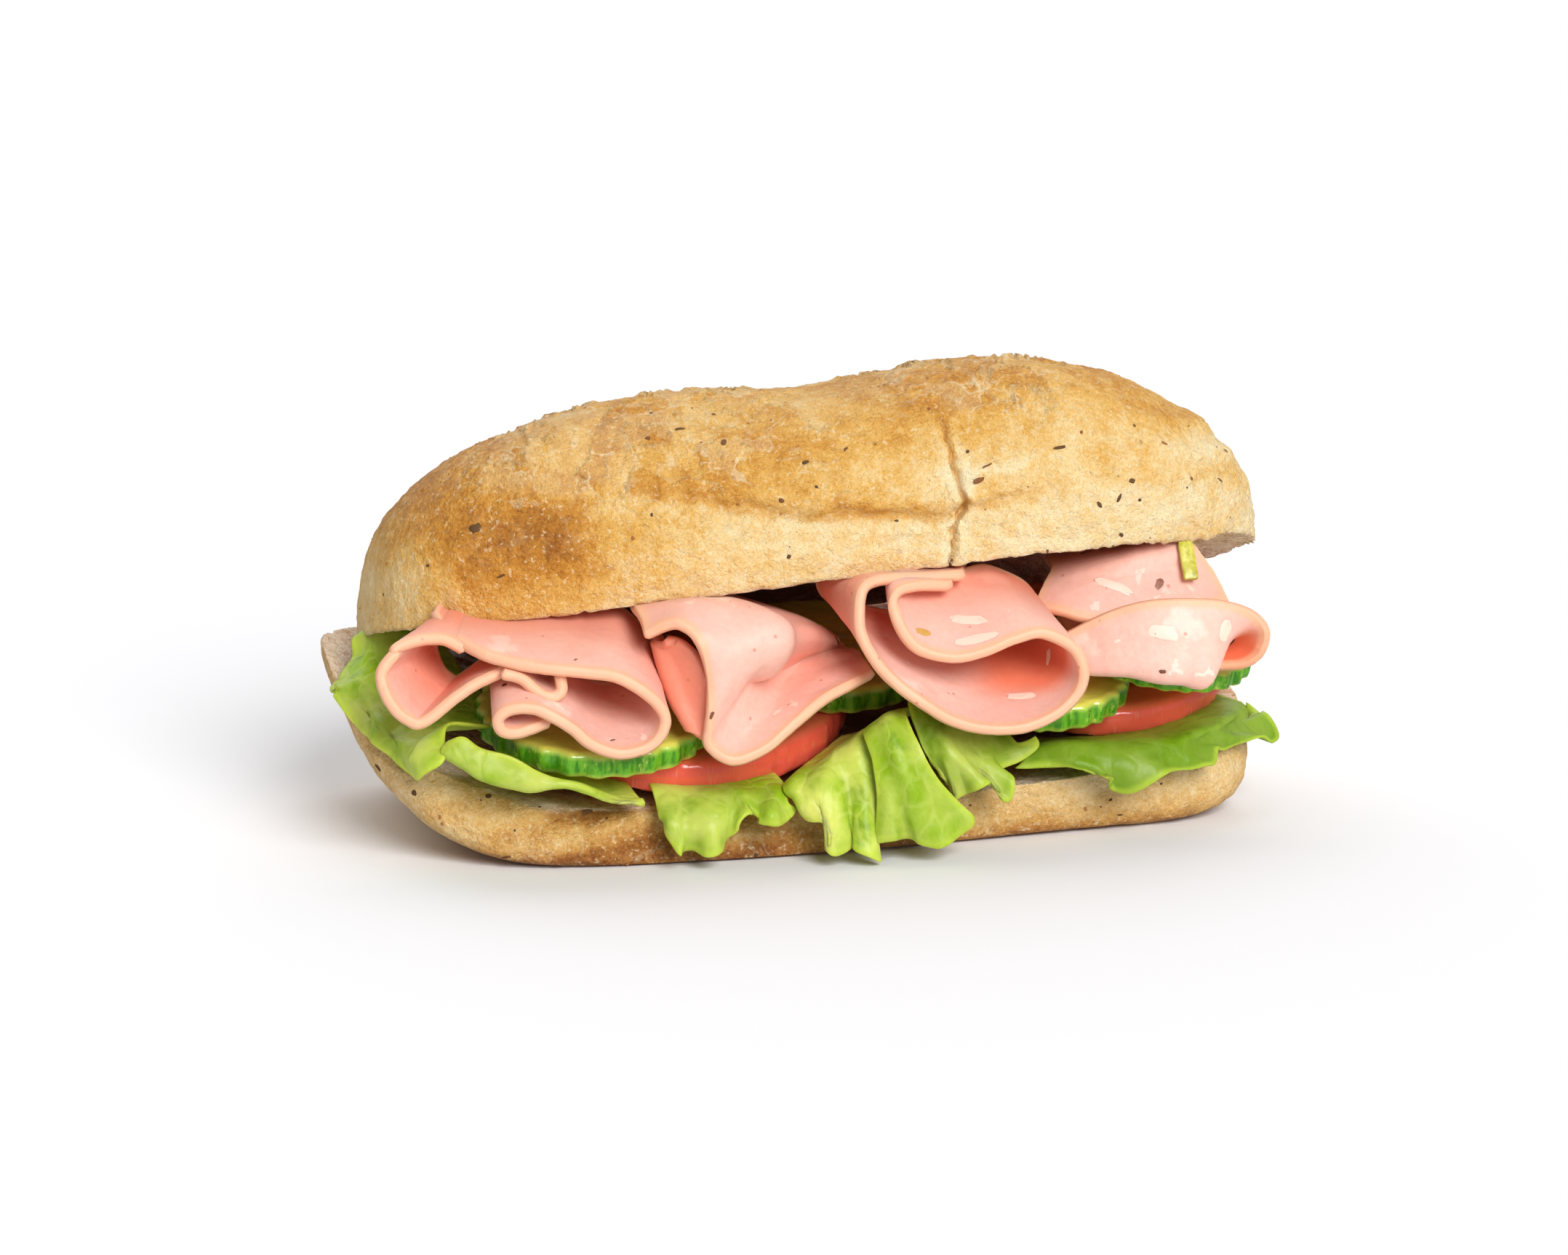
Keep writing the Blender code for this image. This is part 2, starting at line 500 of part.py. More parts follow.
def main():
    for old in list(bpy.data.objects):
        bpy.data.objects.remove(old)
    collection = bpy.data.collections.new("ciabatta_sandwich")
    bpy.context.scene.collection.children.link(collection)
    crust = material("baked_crust", (0.56, 0.33, 0.13), 0.65)
    meat = material("mortadella_pink", (0.80, 0.40, 0.32), 0.45)
    tomato = material("tomato_red", (0.72, 0.07, 0.03), 0.3)
    cucumber = material("cucumber_green", (0.20, 0.38, 0.06), 0.35)
    lettuce = material("lettuce_green", (0.38, 0.58, 0.05), 0.45)
    pickle = material("pickle_yellow", (0.62, 0.58, 0.14), 0.4)
    bread_bottom(collection, crust)
    bread_top(collection, crust)
    for name, spec in TOMATOES.items():
        flat_slice(name, spec, 32, 0.0, tomato, collection)
    for name, spec in CUCUMBERS.items():
        flat_slice(name, spec, 32, 0.006, cucumber, collection)
    for name, spec in PUSHED_SLICES.items():
        pushed_slice(name, spec, meat, collection)
    for name, spec in FOLDED_SLICES.items():
        folded_slice(name, spec, meat, collection)
    for name, spec in LEAVES.items():
        leaf(name, spec, lettuce, collection)
    pickle_strip(collection, pickle)


main()
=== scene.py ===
import json
import math

import bmesh
import bpy
import numpy as np
from mathutils import Matrix, Vector, noise
from mathutils.bvhtree import BVHTree

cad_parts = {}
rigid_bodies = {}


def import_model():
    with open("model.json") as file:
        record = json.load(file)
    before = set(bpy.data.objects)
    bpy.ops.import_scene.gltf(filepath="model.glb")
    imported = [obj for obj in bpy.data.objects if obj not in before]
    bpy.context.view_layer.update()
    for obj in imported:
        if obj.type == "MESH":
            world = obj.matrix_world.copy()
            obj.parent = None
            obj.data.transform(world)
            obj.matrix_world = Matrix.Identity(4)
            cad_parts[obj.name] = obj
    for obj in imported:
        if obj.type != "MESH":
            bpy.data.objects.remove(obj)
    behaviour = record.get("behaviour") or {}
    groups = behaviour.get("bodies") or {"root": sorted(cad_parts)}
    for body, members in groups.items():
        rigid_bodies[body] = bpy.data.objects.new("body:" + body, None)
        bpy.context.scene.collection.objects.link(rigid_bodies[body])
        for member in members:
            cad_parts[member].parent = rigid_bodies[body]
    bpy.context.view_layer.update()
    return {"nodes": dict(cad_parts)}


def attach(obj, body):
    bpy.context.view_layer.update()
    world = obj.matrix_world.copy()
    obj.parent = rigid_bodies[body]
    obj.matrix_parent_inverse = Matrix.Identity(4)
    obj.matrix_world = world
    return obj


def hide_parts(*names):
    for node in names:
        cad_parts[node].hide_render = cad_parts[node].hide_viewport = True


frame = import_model()
mm = 0.001

print("stage: camera, light and floor")

viewSetup = {
    "turn": -13.0, "rise": 11.0, "distance": 0.985, "lens": 105.0, "sensor": 36.0, "aim": (-0.003, 0.0, 0.0385),
    "pixels": (2156, 1725),
}
# Windows into the view in which places are given: left, top and zoom
viewWindows = {"left": (430, 820, 2.751), "low": (880, 940, 1.704), "middle": (850, 790, 4.0)}
lightSetup = {
    "keyPlace": (0.20, -0.95, 0.66), "keySpread": 32.0, "keyPower": 2.95,
    "backPlace": (0.0, 0.75, 1.0), "backSpread": 70.0, "backPower": 1.4,
    "skyBrightness": 0.25,
}


def aimAt(obj, target):
    obj.rotation_euler = (Vector(target) - obj.location).to_track_quat("-Z", "Y").to_euler()


# The view's directions to the right, up and backwards
def viewAxes(setup):
    turn, rise = math.radians(setup["turn"]), math.radians(setup["rise"])
    back = np.array((math.sin(turn) * math.cos(rise), -math.cos(turn) * math.cos(rise), math.sin(rise)))
    right = np.array((math.cos(turn), math.sin(turn), 0.0))
    return right, np.cross(back, right), back


# Where the camera stands, and its line through a place in the view, in pixels from the top left
def sightLine(across, down):
    right, up, back = viewAxes(viewSetup)
    width, height = viewSetup["pixels"]
    focal = viewSetup["lens"] / viewSetup["sensor"] * width
    line = right * ((across - width / 2) / focal) - up * ((down - height / 2) / focal) - back
    return np.array(viewSetup["aim"]) + back * viewSetup["distance"], line


# The point in millimetres that shows at a place in a window of the view and has this depth along Y
def seenAt(window, across, down, depth):
    left, top, zoom = viewWindows[window]
    start, line = sightLine(left + across / zoom, top + down / zoom)
    return (start + line * ((depth / 1000 - start[1]) / line[1])) * 1000


# A shape's lines of places, each across, down and depth, as points kept to one of so many parts of a millimetre
def seenLines(shape, parts):
    return [[np.round(seenAt(shape["window"], *place) * parts) / parts for place in line]
            for line in shape["lines"]]


def makeCamera(setup):
    back = Vector(viewAxes(setup)[2])
    lens = bpy.data.cameras.new("camera")
    lens.lens, lens.sensor_width = setup["lens"], setup["sensor"]
    lens.clip_start = 0.01
    camera = bpy.data.objects.new("camera", lens)
    bpy.context.scene.collection.objects.link(camera)
    camera.location = Vector(setup["aim"]) + back * setup["distance"]
    aimAt(camera, setup["aim"])
    bpy.context.scene.camera = camera


def makeLights(setup):
    for name in ("key", "back"):
        lamp = bpy.data.lights.new(name + "Light", "SUN")
        lamp.energy, lamp.angle = setup[name + "Power"], math.radians(setup[name + "Spread"])
        obj = bpy.data.objects.new(name + "Light", lamp)
        bpy.context.scene.collection.objects.link(obj)
        obj.location = setup[name + "Place"]
        aimAt(obj, (0, 0, 0.05))
    world = bpy.data.worlds.new("softWhite")
    world.use_nodes = True
    world.node_tree.nodes["Background"].inputs["Color"].default_value = (1, 1, 1, 1)
    world.node_tree.nodes["Background"].inputs["Strength"].default_value = setup["skyBrightness"]
    bpy.context.scene.world = world
    bpy.context.scene.view_settings.view_transform = "Standard"


makeCamera(viewSetup)
makeLights(lightSetup)


def paint(red, green, blue):
    linear = [((c / 255 + 0.055) / 1.055) ** 2.4 if c > 10 else c / 255 / 12.92 for c in (red, green, blue)]
    return (*linear, 1.0)


def addNode(tree, kind, inputs=None, **settings):
    node = tree.nodes.new(kind)
    for key, value in settings.items():
        setattr(node, key, value)
    for key, value in (inputs or {}).items():
        if isinstance(value, bpy.types.NodeSocket):
            tree.links.new(value, node.inputs[key])
        else:
            node.inputs[key].default_value = value
    return node


def mathNode(tree, operation, first, second=0.0, clamp=False):
    return addNode(tree, "ShaderNodeMath", {0: first, 1: second}, operation=operation, use_clamp=clamp).outputs[0]


# Smooth step from low to high
def remap(tree, value, low, high, toLow=0.0, toHigh=1.0):
    inputs = {"Value": value, "From Min": low, "From Max": high, "To Min": toLow, "To Max": toHigh}
    return addNode(tree, "ShaderNodeMapRange", inputs, interpolation_type="SMOOTHSTEP").outputs[0]


def mixColour(tree, share, first, second):
    node = addNode(tree, "ShaderNodeMix", {0: share, 6: first, 7: second}, data_type="RGBA")
    return node.outputs[2]


# Noise from 0 to 1 whose lumps are about size metres
def grain(tree, place, size, detail=3.0, roughness=0.55, stretch=None):
    if stretch:
        place = addNode(tree, "ShaderNodeMapping", {"Vector": place, "Scale": stretch}).outputs[0]
    inputs = {"Vector": place, "Scale": 1.0 / size, "Detail": detail, "Roughness": roughness}
    return addNode(tree, "ShaderNodeTexNoise", inputs).outputs["Fac"]


def cells(tree, place, size, feature="F1", jitter=1.0):
    inputs = {"Vector": place, "Scale": 1.0 / size, "Randomness": jitter}
    return addNode(tree, "ShaderNodeTexVoronoi", inputs, feature=feature)


def ramp(tree, share, stops):
    node = addNode(tree, "ShaderNodeValToRGB", {"Fac": share})
    while len(node.color_ramp.elements) < len(stops):
        node.color_ramp.elements.new(0.5)
    for element, (position, colour) in zip(node.color_ramp.elements, stops):
        element.position, element.color = position, colour
    return node.outputs["Color"]


def bump(tree, height, strength, distance, normal=None):
    inputs = {"Height": height, "Strength": strength, "Distance": distance}
    if normal:
        inputs["Normal"] = normal
    return addNode(tree, "ShaderNodeBump", inputs).outputs["Normal"]


# The place shifted about by coloured noise, so that a pattern on it loses its straight lines
def bentPlace(tree, place, scale, detail, reach):
    bent = addNode(tree, "ShaderNodeTexNoise", {"Vector": place, "Scale": scale, "Detail": detail})
    bend = addNode(tree, "ShaderNodeVectorMath", {0: bent.outputs["Color"], 1: (0.5, 0.5, 0.5)},
                   operation="SUBTRACT")
    bend = addNode(tree, "ShaderNodeVectorMath", {0: bend.outputs[0], "Scale": reach}, operation="SCALE")
    return addNode(tree, "ShaderNodeVectorMath", {0: place, 1: bend.outputs[0]}, operation="ADD").outputs[0]


# A random number for each cell, 0 to 1, from one channel of its colour
def cellNumber(tree, found, channel):
    return addNode(tree, "ShaderNodeSeparateColor", {0: found.outputs["Color"]}).outputs[channel]


def startMaterial(name):
    made = bpy.data.materials.new(name)
    made.use_nodes = True
    tree = made.node_tree
    place = addNode(tree, "ShaderNodeTexCoord").outputs["Object"]
    return made, tree, tree.nodes["Principled BSDF"], place


def attribute(tree, name, output="Fac"):
    return addNode(tree, "ShaderNodeAttribute", attribute_name=name).outputs[output]


def setShader(shader, values):
    for key, value in values.items():
        shader.inputs[key].default_value = value


def smoothStep(low, high, value):
    t = np.clip((value - low) / (high - low), 0.0, 1.0)
    return t * t * (3 - 2 * t)


def hill(value, middle, reach):
    return np.exp(-((value - middle) / reach) ** 2)


# Points in millimetres
def pointsOf(mesh):
    values = np.empty(len(mesh.vertices) * 3)
    mesh.vertices.foreach_get("co", values)
    return values.reshape(-1, 3) / mm


def normalsOf(mesh):
    values = np.empty(len(mesh.vertices) * 3)
    mesh.vertices.foreach_get("normal", values)
    return values.reshape(-1, 3)


def setPoints(mesh, points):
    mesh.vertices.foreach_set("co", (points * mm).ravel())
    mesh.update()


def store(mesh, name, values):
    data = mesh.attributes.new(name, "FLOAT", "POINT").data
    data.foreach_set("value", np.asarray(values, np.float32))


# Smooth noise, about -1 to 1, whose lumps are size millimetres across
def lumps(points, size, seed=0.0):
    spread = points / size + np.array((13.7, 7.1, 3.3)) * seed
    return np.array([noise.noise(p) for p in spread.tolist()])


def newObject(name, mesh):
    obj = bpy.data.objects.new(name, mesh)
    bpy.context.scene.collection.objects.link(obj)
    return obj


# A merged copy of a CAD node's mesh, with its triangles joined back into quads
def nodeCopy(name, newName):
    grown = bmesh.new()
    grown.from_mesh(frame["nodes"][name].data)
    bmesh.ops.remove_doubles(grown, verts=grown.verts, dist=1e-6)
    bmesh.ops.join_triangles(grown, faces=grown.faces, angle_face_threshold=math.radians(70),
                             angle_shape_threshold=math.radians(130))
    mesh = bpy.data.meshes.new(newName)
    grown.to_mesh(mesh)
    grown.free()
    mesh.materials.clear()
    return newObject(newName, mesh)


# Creases the edges that turn by more than angle degrees, so that subdivision keeps them
def creaseSharp(mesh, angle, amount):
    grown = bmesh.new()
    grown.from_mesh(mesh)
    layer = grown.edges.layers.float.get("crease_edge") or grown.edges.layers.float.new("crease_edge")
    for edge in grown.edges:
        if len(edge.link_faces) == 2 and edge.calc_face_angle(0.0) > math.radians(angle):
            edge[layer] = amount
    grown.to_mesh(mesh)
    grown.free()


# Applies a Subdivision Surface to the object's mesh
def subdivided(obj, levels):
    modifier = obj.modifiers.new("fine", "SUBSURF")
    modifier.levels = modifier.render_levels = levels
    bpy.context.view_layer.update()
    mesh = bpy.data.meshes.new_from_object(obj.evaluated_get(bpy.context.evaluated_depsgraph_get()))
    obj.modifiers.clear()
    obj.data = mesh
    return mesh


# Splits the edges between the chosen points into finer ones
def refined(mesh, chosen, cuts):
    grown = bmesh.new()
    grown.from_mesh(mesh)
    edges = [edge for edge in grown.edges if all(chosen[vertex.index] for vertex in edge.verts)]
    bmesh.ops.subdivide_edges(grown, edges=edges, cuts=cuts, use_grid_fill=True)
    grown.to_mesh(mesh)
    grown.free()
    mesh.update()


def finishPiece(obj, material, slotName, *nodes):
    obj.data.materials.clear()
    obj.data.materials.append(material)
    obj.data.shade_smooth()
    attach(obj, "root")
    if nodes:
        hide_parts(*nodes)


# A Catmull-Rom curve through the points, as count points at even distances
def evenly(points, count):
    p = np.array([points[0], *points, points[-1]], float)
    t = np.linspace(0, 1, 16, endpoint=False)[:, None]
    fine = [0.5 * (2 * b + (c - a) * t + (2 * a - 5 * b + 4 * c - d) * t ** 2 + (3 * b - a - 3 * c + d) * t ** 3)
            for a, b, c, d in zip(p, p[1:], p[2:], p[3:])]
    fine = np.vstack([*fine, p[-1:]])
    run = np.concatenate([[0], np.cumsum(np.linalg.norm(np.diff(fine, axis=0), axis=1))])
    wanted = np.linspace(0, run[-1], count)
    return np.stack([np.interp(wanted, run, fine[:, axis]) for axis in range(3)], axis=1)


# A Catmull-Rom curve as count points, with the same number of them between each two of its own
def through(points, count):
    p = np.array([points[0], *points, points[-1]], float)
    where = np.linspace(0, len(points) - 1, count)
    start = np.minimum(where.astype(int), len(points) - 2)
    t = (where - start)[:, None]
    a, b, c, d = (p[start + step] for step in range(4))
    return 0.5 * (2 * b + (c - a) * t + (2 * a - 5 * b + 4 * c - d) * t ** 2 + (3 * b - a - 3 * c + d) * t ** 3)


# A grid over lines whose points belong together one by one
def matchedLoft(lines, rows, columns):
    across = np.array([through(line, columns) for line in lines])
    return np.stack([through(across[:, column], rows) for column in range(columns)], axis=1)


# A grid from a front rim inwards. Each entry of inwards gives how far along the rim, and its way in
def pushedIn(rim, inwards, rows, columns):
    front = evenly(rim, columns)
    table = np.array(inwards, float)
    share = np.linspace(0, 1, columns)
    way = np.stack([np.interp(share, table[:, 0], table[:, axis]) for axis in (1, 2, 3)], axis=1)
    window = np.hanning(columns // 8 * 2 + 1)
    padded = np.pad(way, ((columns // 8, columns // 8), (0, 0)), "edge")
    way = np.stack([np.convolve(padded[:, axis], window / window.sum(), "valid") for axis in range(3)], axis=1)
    depth = np.linspace(0, 1, rows)[:, None, None]
    return front + way * depth


# A grid of places over lines that run across the sheet one after the other
def loft(lines, rows, columns):
    across = np.array([evenly(line, columns) for line in lines])
    return np.stack([evenly(across[:, column], rows) for column in range(columns)], axis=1)


def gridNormals(grid):
    normal = np.cross(np.gradient(grid, axis=1), np.gradient(grid, axis=0))
    return normal / np.maximum(np.linalg.norm(normal, axis=2, keepdims=True), 1e-9)


# Moves the places that lie in another piece out of it, to gap millimetres off
def clearOf(grid, gap, tree):
    moved = grid.copy()
    for place in moved.reshape(-1, 3):
        near, normal, _, _ = tree.find_nearest(Vector(place) * mm)
        height = (Vector(place) * mm - near).dot(normal) / mm
        if height < gap:
            place += np.array(normal) * (gap - height)
    return moved


def blurred(field):
    padded = np.pad(field, 1, "edge")
    return (padded[:-2, 1:-1] + padded[2:, 1:-1] + padded[1:-1, :-2] + padded[1:-1, 2:] + 2 * field) / 6


# Lowers the sheet softly where it would come within gap millimetres of the piece above it
def pressedUnder(grid, gap, tree):
    drop = np.zeros(len(grid.reshape(-1, 3)))
    for index, (x, y, z) in enumerate(grid.reshape(-1, 3)):
        above = tree.ray_cast(Vector((x, y, 10)) * mm, Vector((0, 0, 1)))[0]
        if above:
            drop[index] = max(0.0, z - (above.z / mm - gap))
    drop = drop.reshape(grid.shape[:2])
    for _ in range(14):
        drop = np.maximum(drop, blurred(drop))
    for _ in range(4):
        drop = blurred(drop)
    return grid - drop[..., None] * np.array((0, 0, 1))


def treeOf(obj):
    return BVHTree.FromPolygons([v.co for v in obj.data.vertices], [f.vertices for f in obj.data.polygons])


# A closed sheet over a grid of places, with rounded rims and its grid position kept as attributes
def sheetPiece(name, grid, thickness):
    rows, columns = grid.shape[:2]
    normal = gridNormals(grid) * thickness / 2
    number = np.arange(rows * columns).reshape(rows, columns)
    rim = np.concatenate([number[0], number[1:, -1], number[-1, -2::-1], number[-2:0:-1, 0]])
    flat = grid.reshape(-1, 3)
    inner = np.clip(np.stack(np.unravel_index(rim, (rows, columns)), axis=1), 1, (rows - 2, columns - 2))
    outward = flat[rim] - grid[inner[:, 0], inner[:, 1]]
    outward /= np.maximum(np.linalg.norm(outward, axis=1, keepdims=True), 1e-9)
    bulge = flat[rim] + outward * thickness * 0.3
    places = np.vstack([flat + normal.reshape(-1, 3), flat - normal.reshape(-1, 3), bulge])
    a, b, c, d = (part.ravel() for part in (number[:-1, :-1], number[:-1, 1:], number[1:, 1:], number[1:, :-1]))
    half, edge = rows * columns, 2 * rows * columns + np.arange(len(rim))
    after, edgeAfter = np.roll(rim, -1), np.roll(edge, -1)
    faces = np.vstack([np.stack([d, c, b, a], 1), np.stack([a, b, c, d], 1) + half,
                       np.stack([rim, after, edgeAfter, edge], 1),
                       np.stack([edge, edgeAfter, after + half, rim + half], 1)])
    mesh = bpy.data.meshes.new(name)
    mesh.from_pydata((places * mm).tolist(), [], faces.tolist())
    v, u = np.mgrid[0:1:rows * 1j, 0:1:columns * 1j]
    stepU = np.linalg.norm(np.diff(grid, axis=1, prepend=grid[:, :1]), axis=2)
    stepV = np.linalg.norm(np.diff(grid, axis=0, prepend=grid[:1]), axis=2)
    runU, runV = np.cumsum(stepU, axis=1), np.cumsum(stepV, axis=0)
    away = np.minimum.reduce([runU, runU[:, -1:] - runU, runV, runV[-1:] - runV]).ravel()
    for key, values in (("across", u.ravel()), ("down", v.ravel()), ("rimDistance", away)):
        store(mesh, key, np.concatenate([values, values, values[rim]]))
    turned = bmesh.new()
    turned.from_mesh(mesh)
    bmesh.ops.recalc_face_normals(turned, faces=turned.faces)
    turned.to_mesh(mesh)
    turned.free()
    return newObject(name, mesh)


print("stage: floor")
floorSize = 14.0


def makeFloor():
    made, tree, shader, place = startMaterial("paleFloor")
    setShader(shader, {"Base Color": paint(246, 246, 248), "Roughness": 0.9, "Specular IOR Level": 0.0})
    bpy.ops.mesh.primitive_plane_add(size=floorSize, location=(0, 0, -0.0002))
    floor = bpy.context.object
    floor.name = "floor"
    floor.data.materials.append(made)
    floor.visible_glossy = False


makeFloor()


print("stage: bread")

lidRelief = {
    "lumpHeight": 0.60, "lumpSize": 15.0,      # millimetres, as all sizes here
    "dimpleHeight": 0.20, "dimpleSize": 4.5,
    "flakeHeight": 0.75, "flakeSize": 9.0,
    "streakHeight": 0.50,
    "creaseDepth": 1.25, "crackDepth": 1.5,
    "wrinkleHeight": 0.45,
    "edgeRoughness": 0.55,
}
# Shoulder crease and crack, as (x, z) on the front of the lid
shoulderCrease = [(-50, 77), (-44.6, 76), (-31, 74.3), (-13, 71.5), (2.5, 69.8), (24, 69.7), (38, 72.5), (52, 75.5)]
frontCrack = [(20.5, 97), (21, 92), (23.5, 80), (25, 72), (22.5, 66), (22.4, 61), (20.8, 56)]
crackBranch = [(25, 76), (30, 78.2), (36, 79), (42, 81.5)]


# Distance to a route in the (x, z) plane, and how far above it each point lies
def routeDistance(x, z, route):
    best = np.full(len(x), 1e9)
    above = np.zeros(len(x))
    for (x0, z0), (x1, z1) in zip(route, route[1:]):
        length = math.hypot(x1 - x0, z1 - z0)
        along = np.clip(((x - x0) * (x1 - x0) + (z - z0) * (z1 - z0)) / length ** 2, 0, 1)
        dx, dz = x - (x0 + along * (x1 - x0)), z - (z0 + along * (z1 - z0))
        distance = np.hypot(dx, dz)
        nearer = distance < best
        best = np.where(nearer, distance, best)
        above = np.where(nearer, dz, above)
    return best, above


# Random height of the skin flake at each point, and 1 on the flakes' broken edges
def flakePattern(points, size):
    bent = points + 3.4 * np.stack([lumps(points, 7.0, seed) for seed in (1, 2, 3)], axis=1)
    bent = bent + 1.1 * np.stack([lumps(points, 2.2, seed) for seed in (4, 5, 6)], axis=1)
    heights, edges = [], []
    for place in (bent / size).tolist():
        distances, centres = noise.voronoi(place)
        centre = centres[0]
        heights.append(math.sin(centre[0] * 91.7 + centre[1] * 47.3 + centre[2] * 73.1) * 0.5 + 0.5)
        edges.append(distances[1] - distances[0])
    heights = np.array(heights)
    broken = smoothStep(-0.15, 0.25, lumps(points, 6.0, 7))      # edges lie flat here and there
    return heights, (1 - smoothStep(0.02, 0.08, np.array(edges))) * broken


def makeLid():
    relief = lidRelief
    lid = nodeCopy("bread_top", "lid")
    creaseSharp(lid.data, 40, 0.75)
    mesh = subdivided(lid, 3)
    p = pointsOf(mesh)
    refined(mesh, (routeDistance(p[:, 0], p[:, 2], frontCrack)[0] < 3.2) & (p[:, 1] < -15), 2)
    p = pointsOf(mesh)
    refined(mesh, (routeDistance(p[:, 0], p[:, 2], shoulderCrease)[0] < 4.5) & (p[:, 1] < -20), 1)
    p, n = pointsOf(mesh), normalsOf(mesh)
    x, y, z = p.T
    crust = smoothStep(-0.8, -0.5, n[:, 2])
    front = smoothStep(4, -14, y) * crust
    wobble = 1.3 * lumps(p, 4.0, 5) + 0.6 * lumps(p, 1.6, 6)
    # soft unevenness of the dough
    shift = relief["lumpHeight"] * lumps(p, relief["lumpSize"], 1)
    shift += relief["dimpleHeight"] * lumps(p, relief["dimpleSize"], 2)
    # papery flakes on the shoulder
    flakes, flakeEdges = flakePattern(p, relief["flakeSize"])
    flaky = np.maximum(hill(x, -35, 42) * hill(z, 84, 13), 0.9 * hill(x, 36, 26) * hill(z, 95, 8))
    flaky = np.clip(flaky * 1.3 + 0.35 * lumps(p, 14, 8), 0, 1) * crust
    lifted = smoothStep(0.35, 0.5, flakes)
    shift += flaky * relief["flakeHeight"] * (0.7 * lifted - 0.35 + flakeEdges * lifted)
    # floury stretched crust below the crease
    creaseGap, aboveCrease = routeDistance(x, z + wobble, shoulderCrease)
    below = smoothStep(1.0, -2.5, aboveCrease) * smoothStep(-60, -40, x) * front
    low = smoothStep(78, 66, z + 0.10 * x) * front
    floury = np.maximum(below, 0.8 * smoothStep(0, 25, x) * smoothStep(92, 74, z) * front)
    floury = np.clip(floury + 0.2 * low, 0, 1)
    slanted = np.stack([(x + 0.5 * z) / 1.7, y / 2.5, z / 3.6], axis=1)
    streaks = lumps(slanted, 1.0, 9) + 0.8 * lumps(slanted * 2.1, 1.0, 10)
    shift += relief["streakHeight"] * streaks * (0.35 + 0.65 * floury) * crust
    shift += crust * (0.15 * lumps(p, 1.6, 18) + 0.14 * lumps(p, 2.8, 19))
    # shoulder crease: a groove under a soft overhang
    fade = smoothStep(-50, -20, x) * smoothStep(50, 22, x) * smoothStep(-20, -32, y)
    groove = hill(creaseGap, 0, 1.15) * fade
    shift += fade * (1.0 * hill(aboveCrease, 2.6, 2.4) - 0.6 * hill(aboveCrease, -3.2, 3.4)) * (creaseGap < 12)
    shift -= relief["creaseDepth"] * groove
    # the crack and its branch
    crackGap = routeDistance(x + 0.6 * wobble, z, frontCrack)[0]
    seam = hill(routeDistance(x, z + 0.7 * wobble, crackBranch)[0], 0, 1.1) * smoothStep(-18, -30, y)
    ragged = 0.55 + 0.45 * lumps(p, 3.0, 17) + 0.45 * hill(z, 74, 6)
    cracked = smoothStep(-18, -30, y) * smoothStep(91, 84, z)
    crack = smoothStep(0.9, 0.25, crackGap / np.maximum(ragged, 0.35)) * cracked
    shift += 0.35 * hill(crackGap, 1.8, 1.2) * cracked + 0.45 * seam
    shift -= relief["crackDepth"] * crack
    # wrinkles round the right end
    wrinkled = hill(x, 84, 16) * hill(z, 84, 12) * crust
    shift += relief["wrinkleHeight"] * wrinkled * np.sin((z + 0.16 * x + 0.9 * wobble) / 0.95)
    # torn edge along the cut
    edge = smoothStep(0.25, 0.75, crust) * smoothStep(0.95, 0.7, crust)
    torn = 1 + 1.6 * smoothStep(55, 80, x)
    shift += relief["edgeRoughness"] * torn * edge * (lumps(p, 1.5, 11) + 0.6 * lumps(p, 3.2, 20))
    crumb = 1 - crust
    pores = lumps(p, 2.4, 12) + 0.7 * lumps(p, 1.1, 13)
    shift -= 0.55 * torn * crumb * np.clip(pores, -0.2, 1)
    setPoints(mesh, p + n * shift[:, None])

    bake = 0.50 + 0.15 * lumps(p, 18, 14) + 0.12 * lumps(p, 6, 15) + 0.08 * lumps(p, 2.2, 16)
    bake += 0.44 * hill(x, -65, 31) * hill(z + 0.1 * x, 61, 14) + 0.10 * hill(x, -50, 30) * hill(z, 84, 12)
    bake += 0.14 * smoothStep(86, 98, z) + 0.06 * hill(x, 6, 34) * hill(z, 80, 9)
    bake += 0.16 * hill(aboveCrease, 1.4, 1.8) * fade * smoothStep(-14, 6, x)
    bake += 0.20 * wrinkled * np.sin((z + 0.16 * x + 0.9 * wobble) / 1.9)
    bake -= 0.30 * floury + 0.12 * hill(x, -92, 12) * smoothStep(66, 54, z)
    # painted shade: the crease groove and the crack are a little browner; the torn crumb round the crack and along
    # the seam is paler
    bake += (0.06 * groove + 0.06 * crack - 0.16 * hill(crackGap, 2.0, 1.0) * cracked
             - 0.14 * flaky * (1 - lifted) + 0.06 * flaky - 0.2 * seam)
    store(mesh, "bake", np.clip(bake, 0, 1))
    store(mesh, "flour", np.clip(floury, 0, 1))
    store(mesh, "edgeLight", np.clip(flakeEdges * flaky * 1.4, 0, 1))
    store(mesh, "flaky", flaky)
    store(mesh, "crumb", crumb)
    store(mesh, "hollow", np.clip(crack + 0.7 * groove, 0, 1))
    return lid


baseRelief = {"lumpHeight": 0.5, "lumpSize": 15.0, "dimpleHeight": 0.22, "dimpleSize": 4.0, "foldHeight": 0.95}


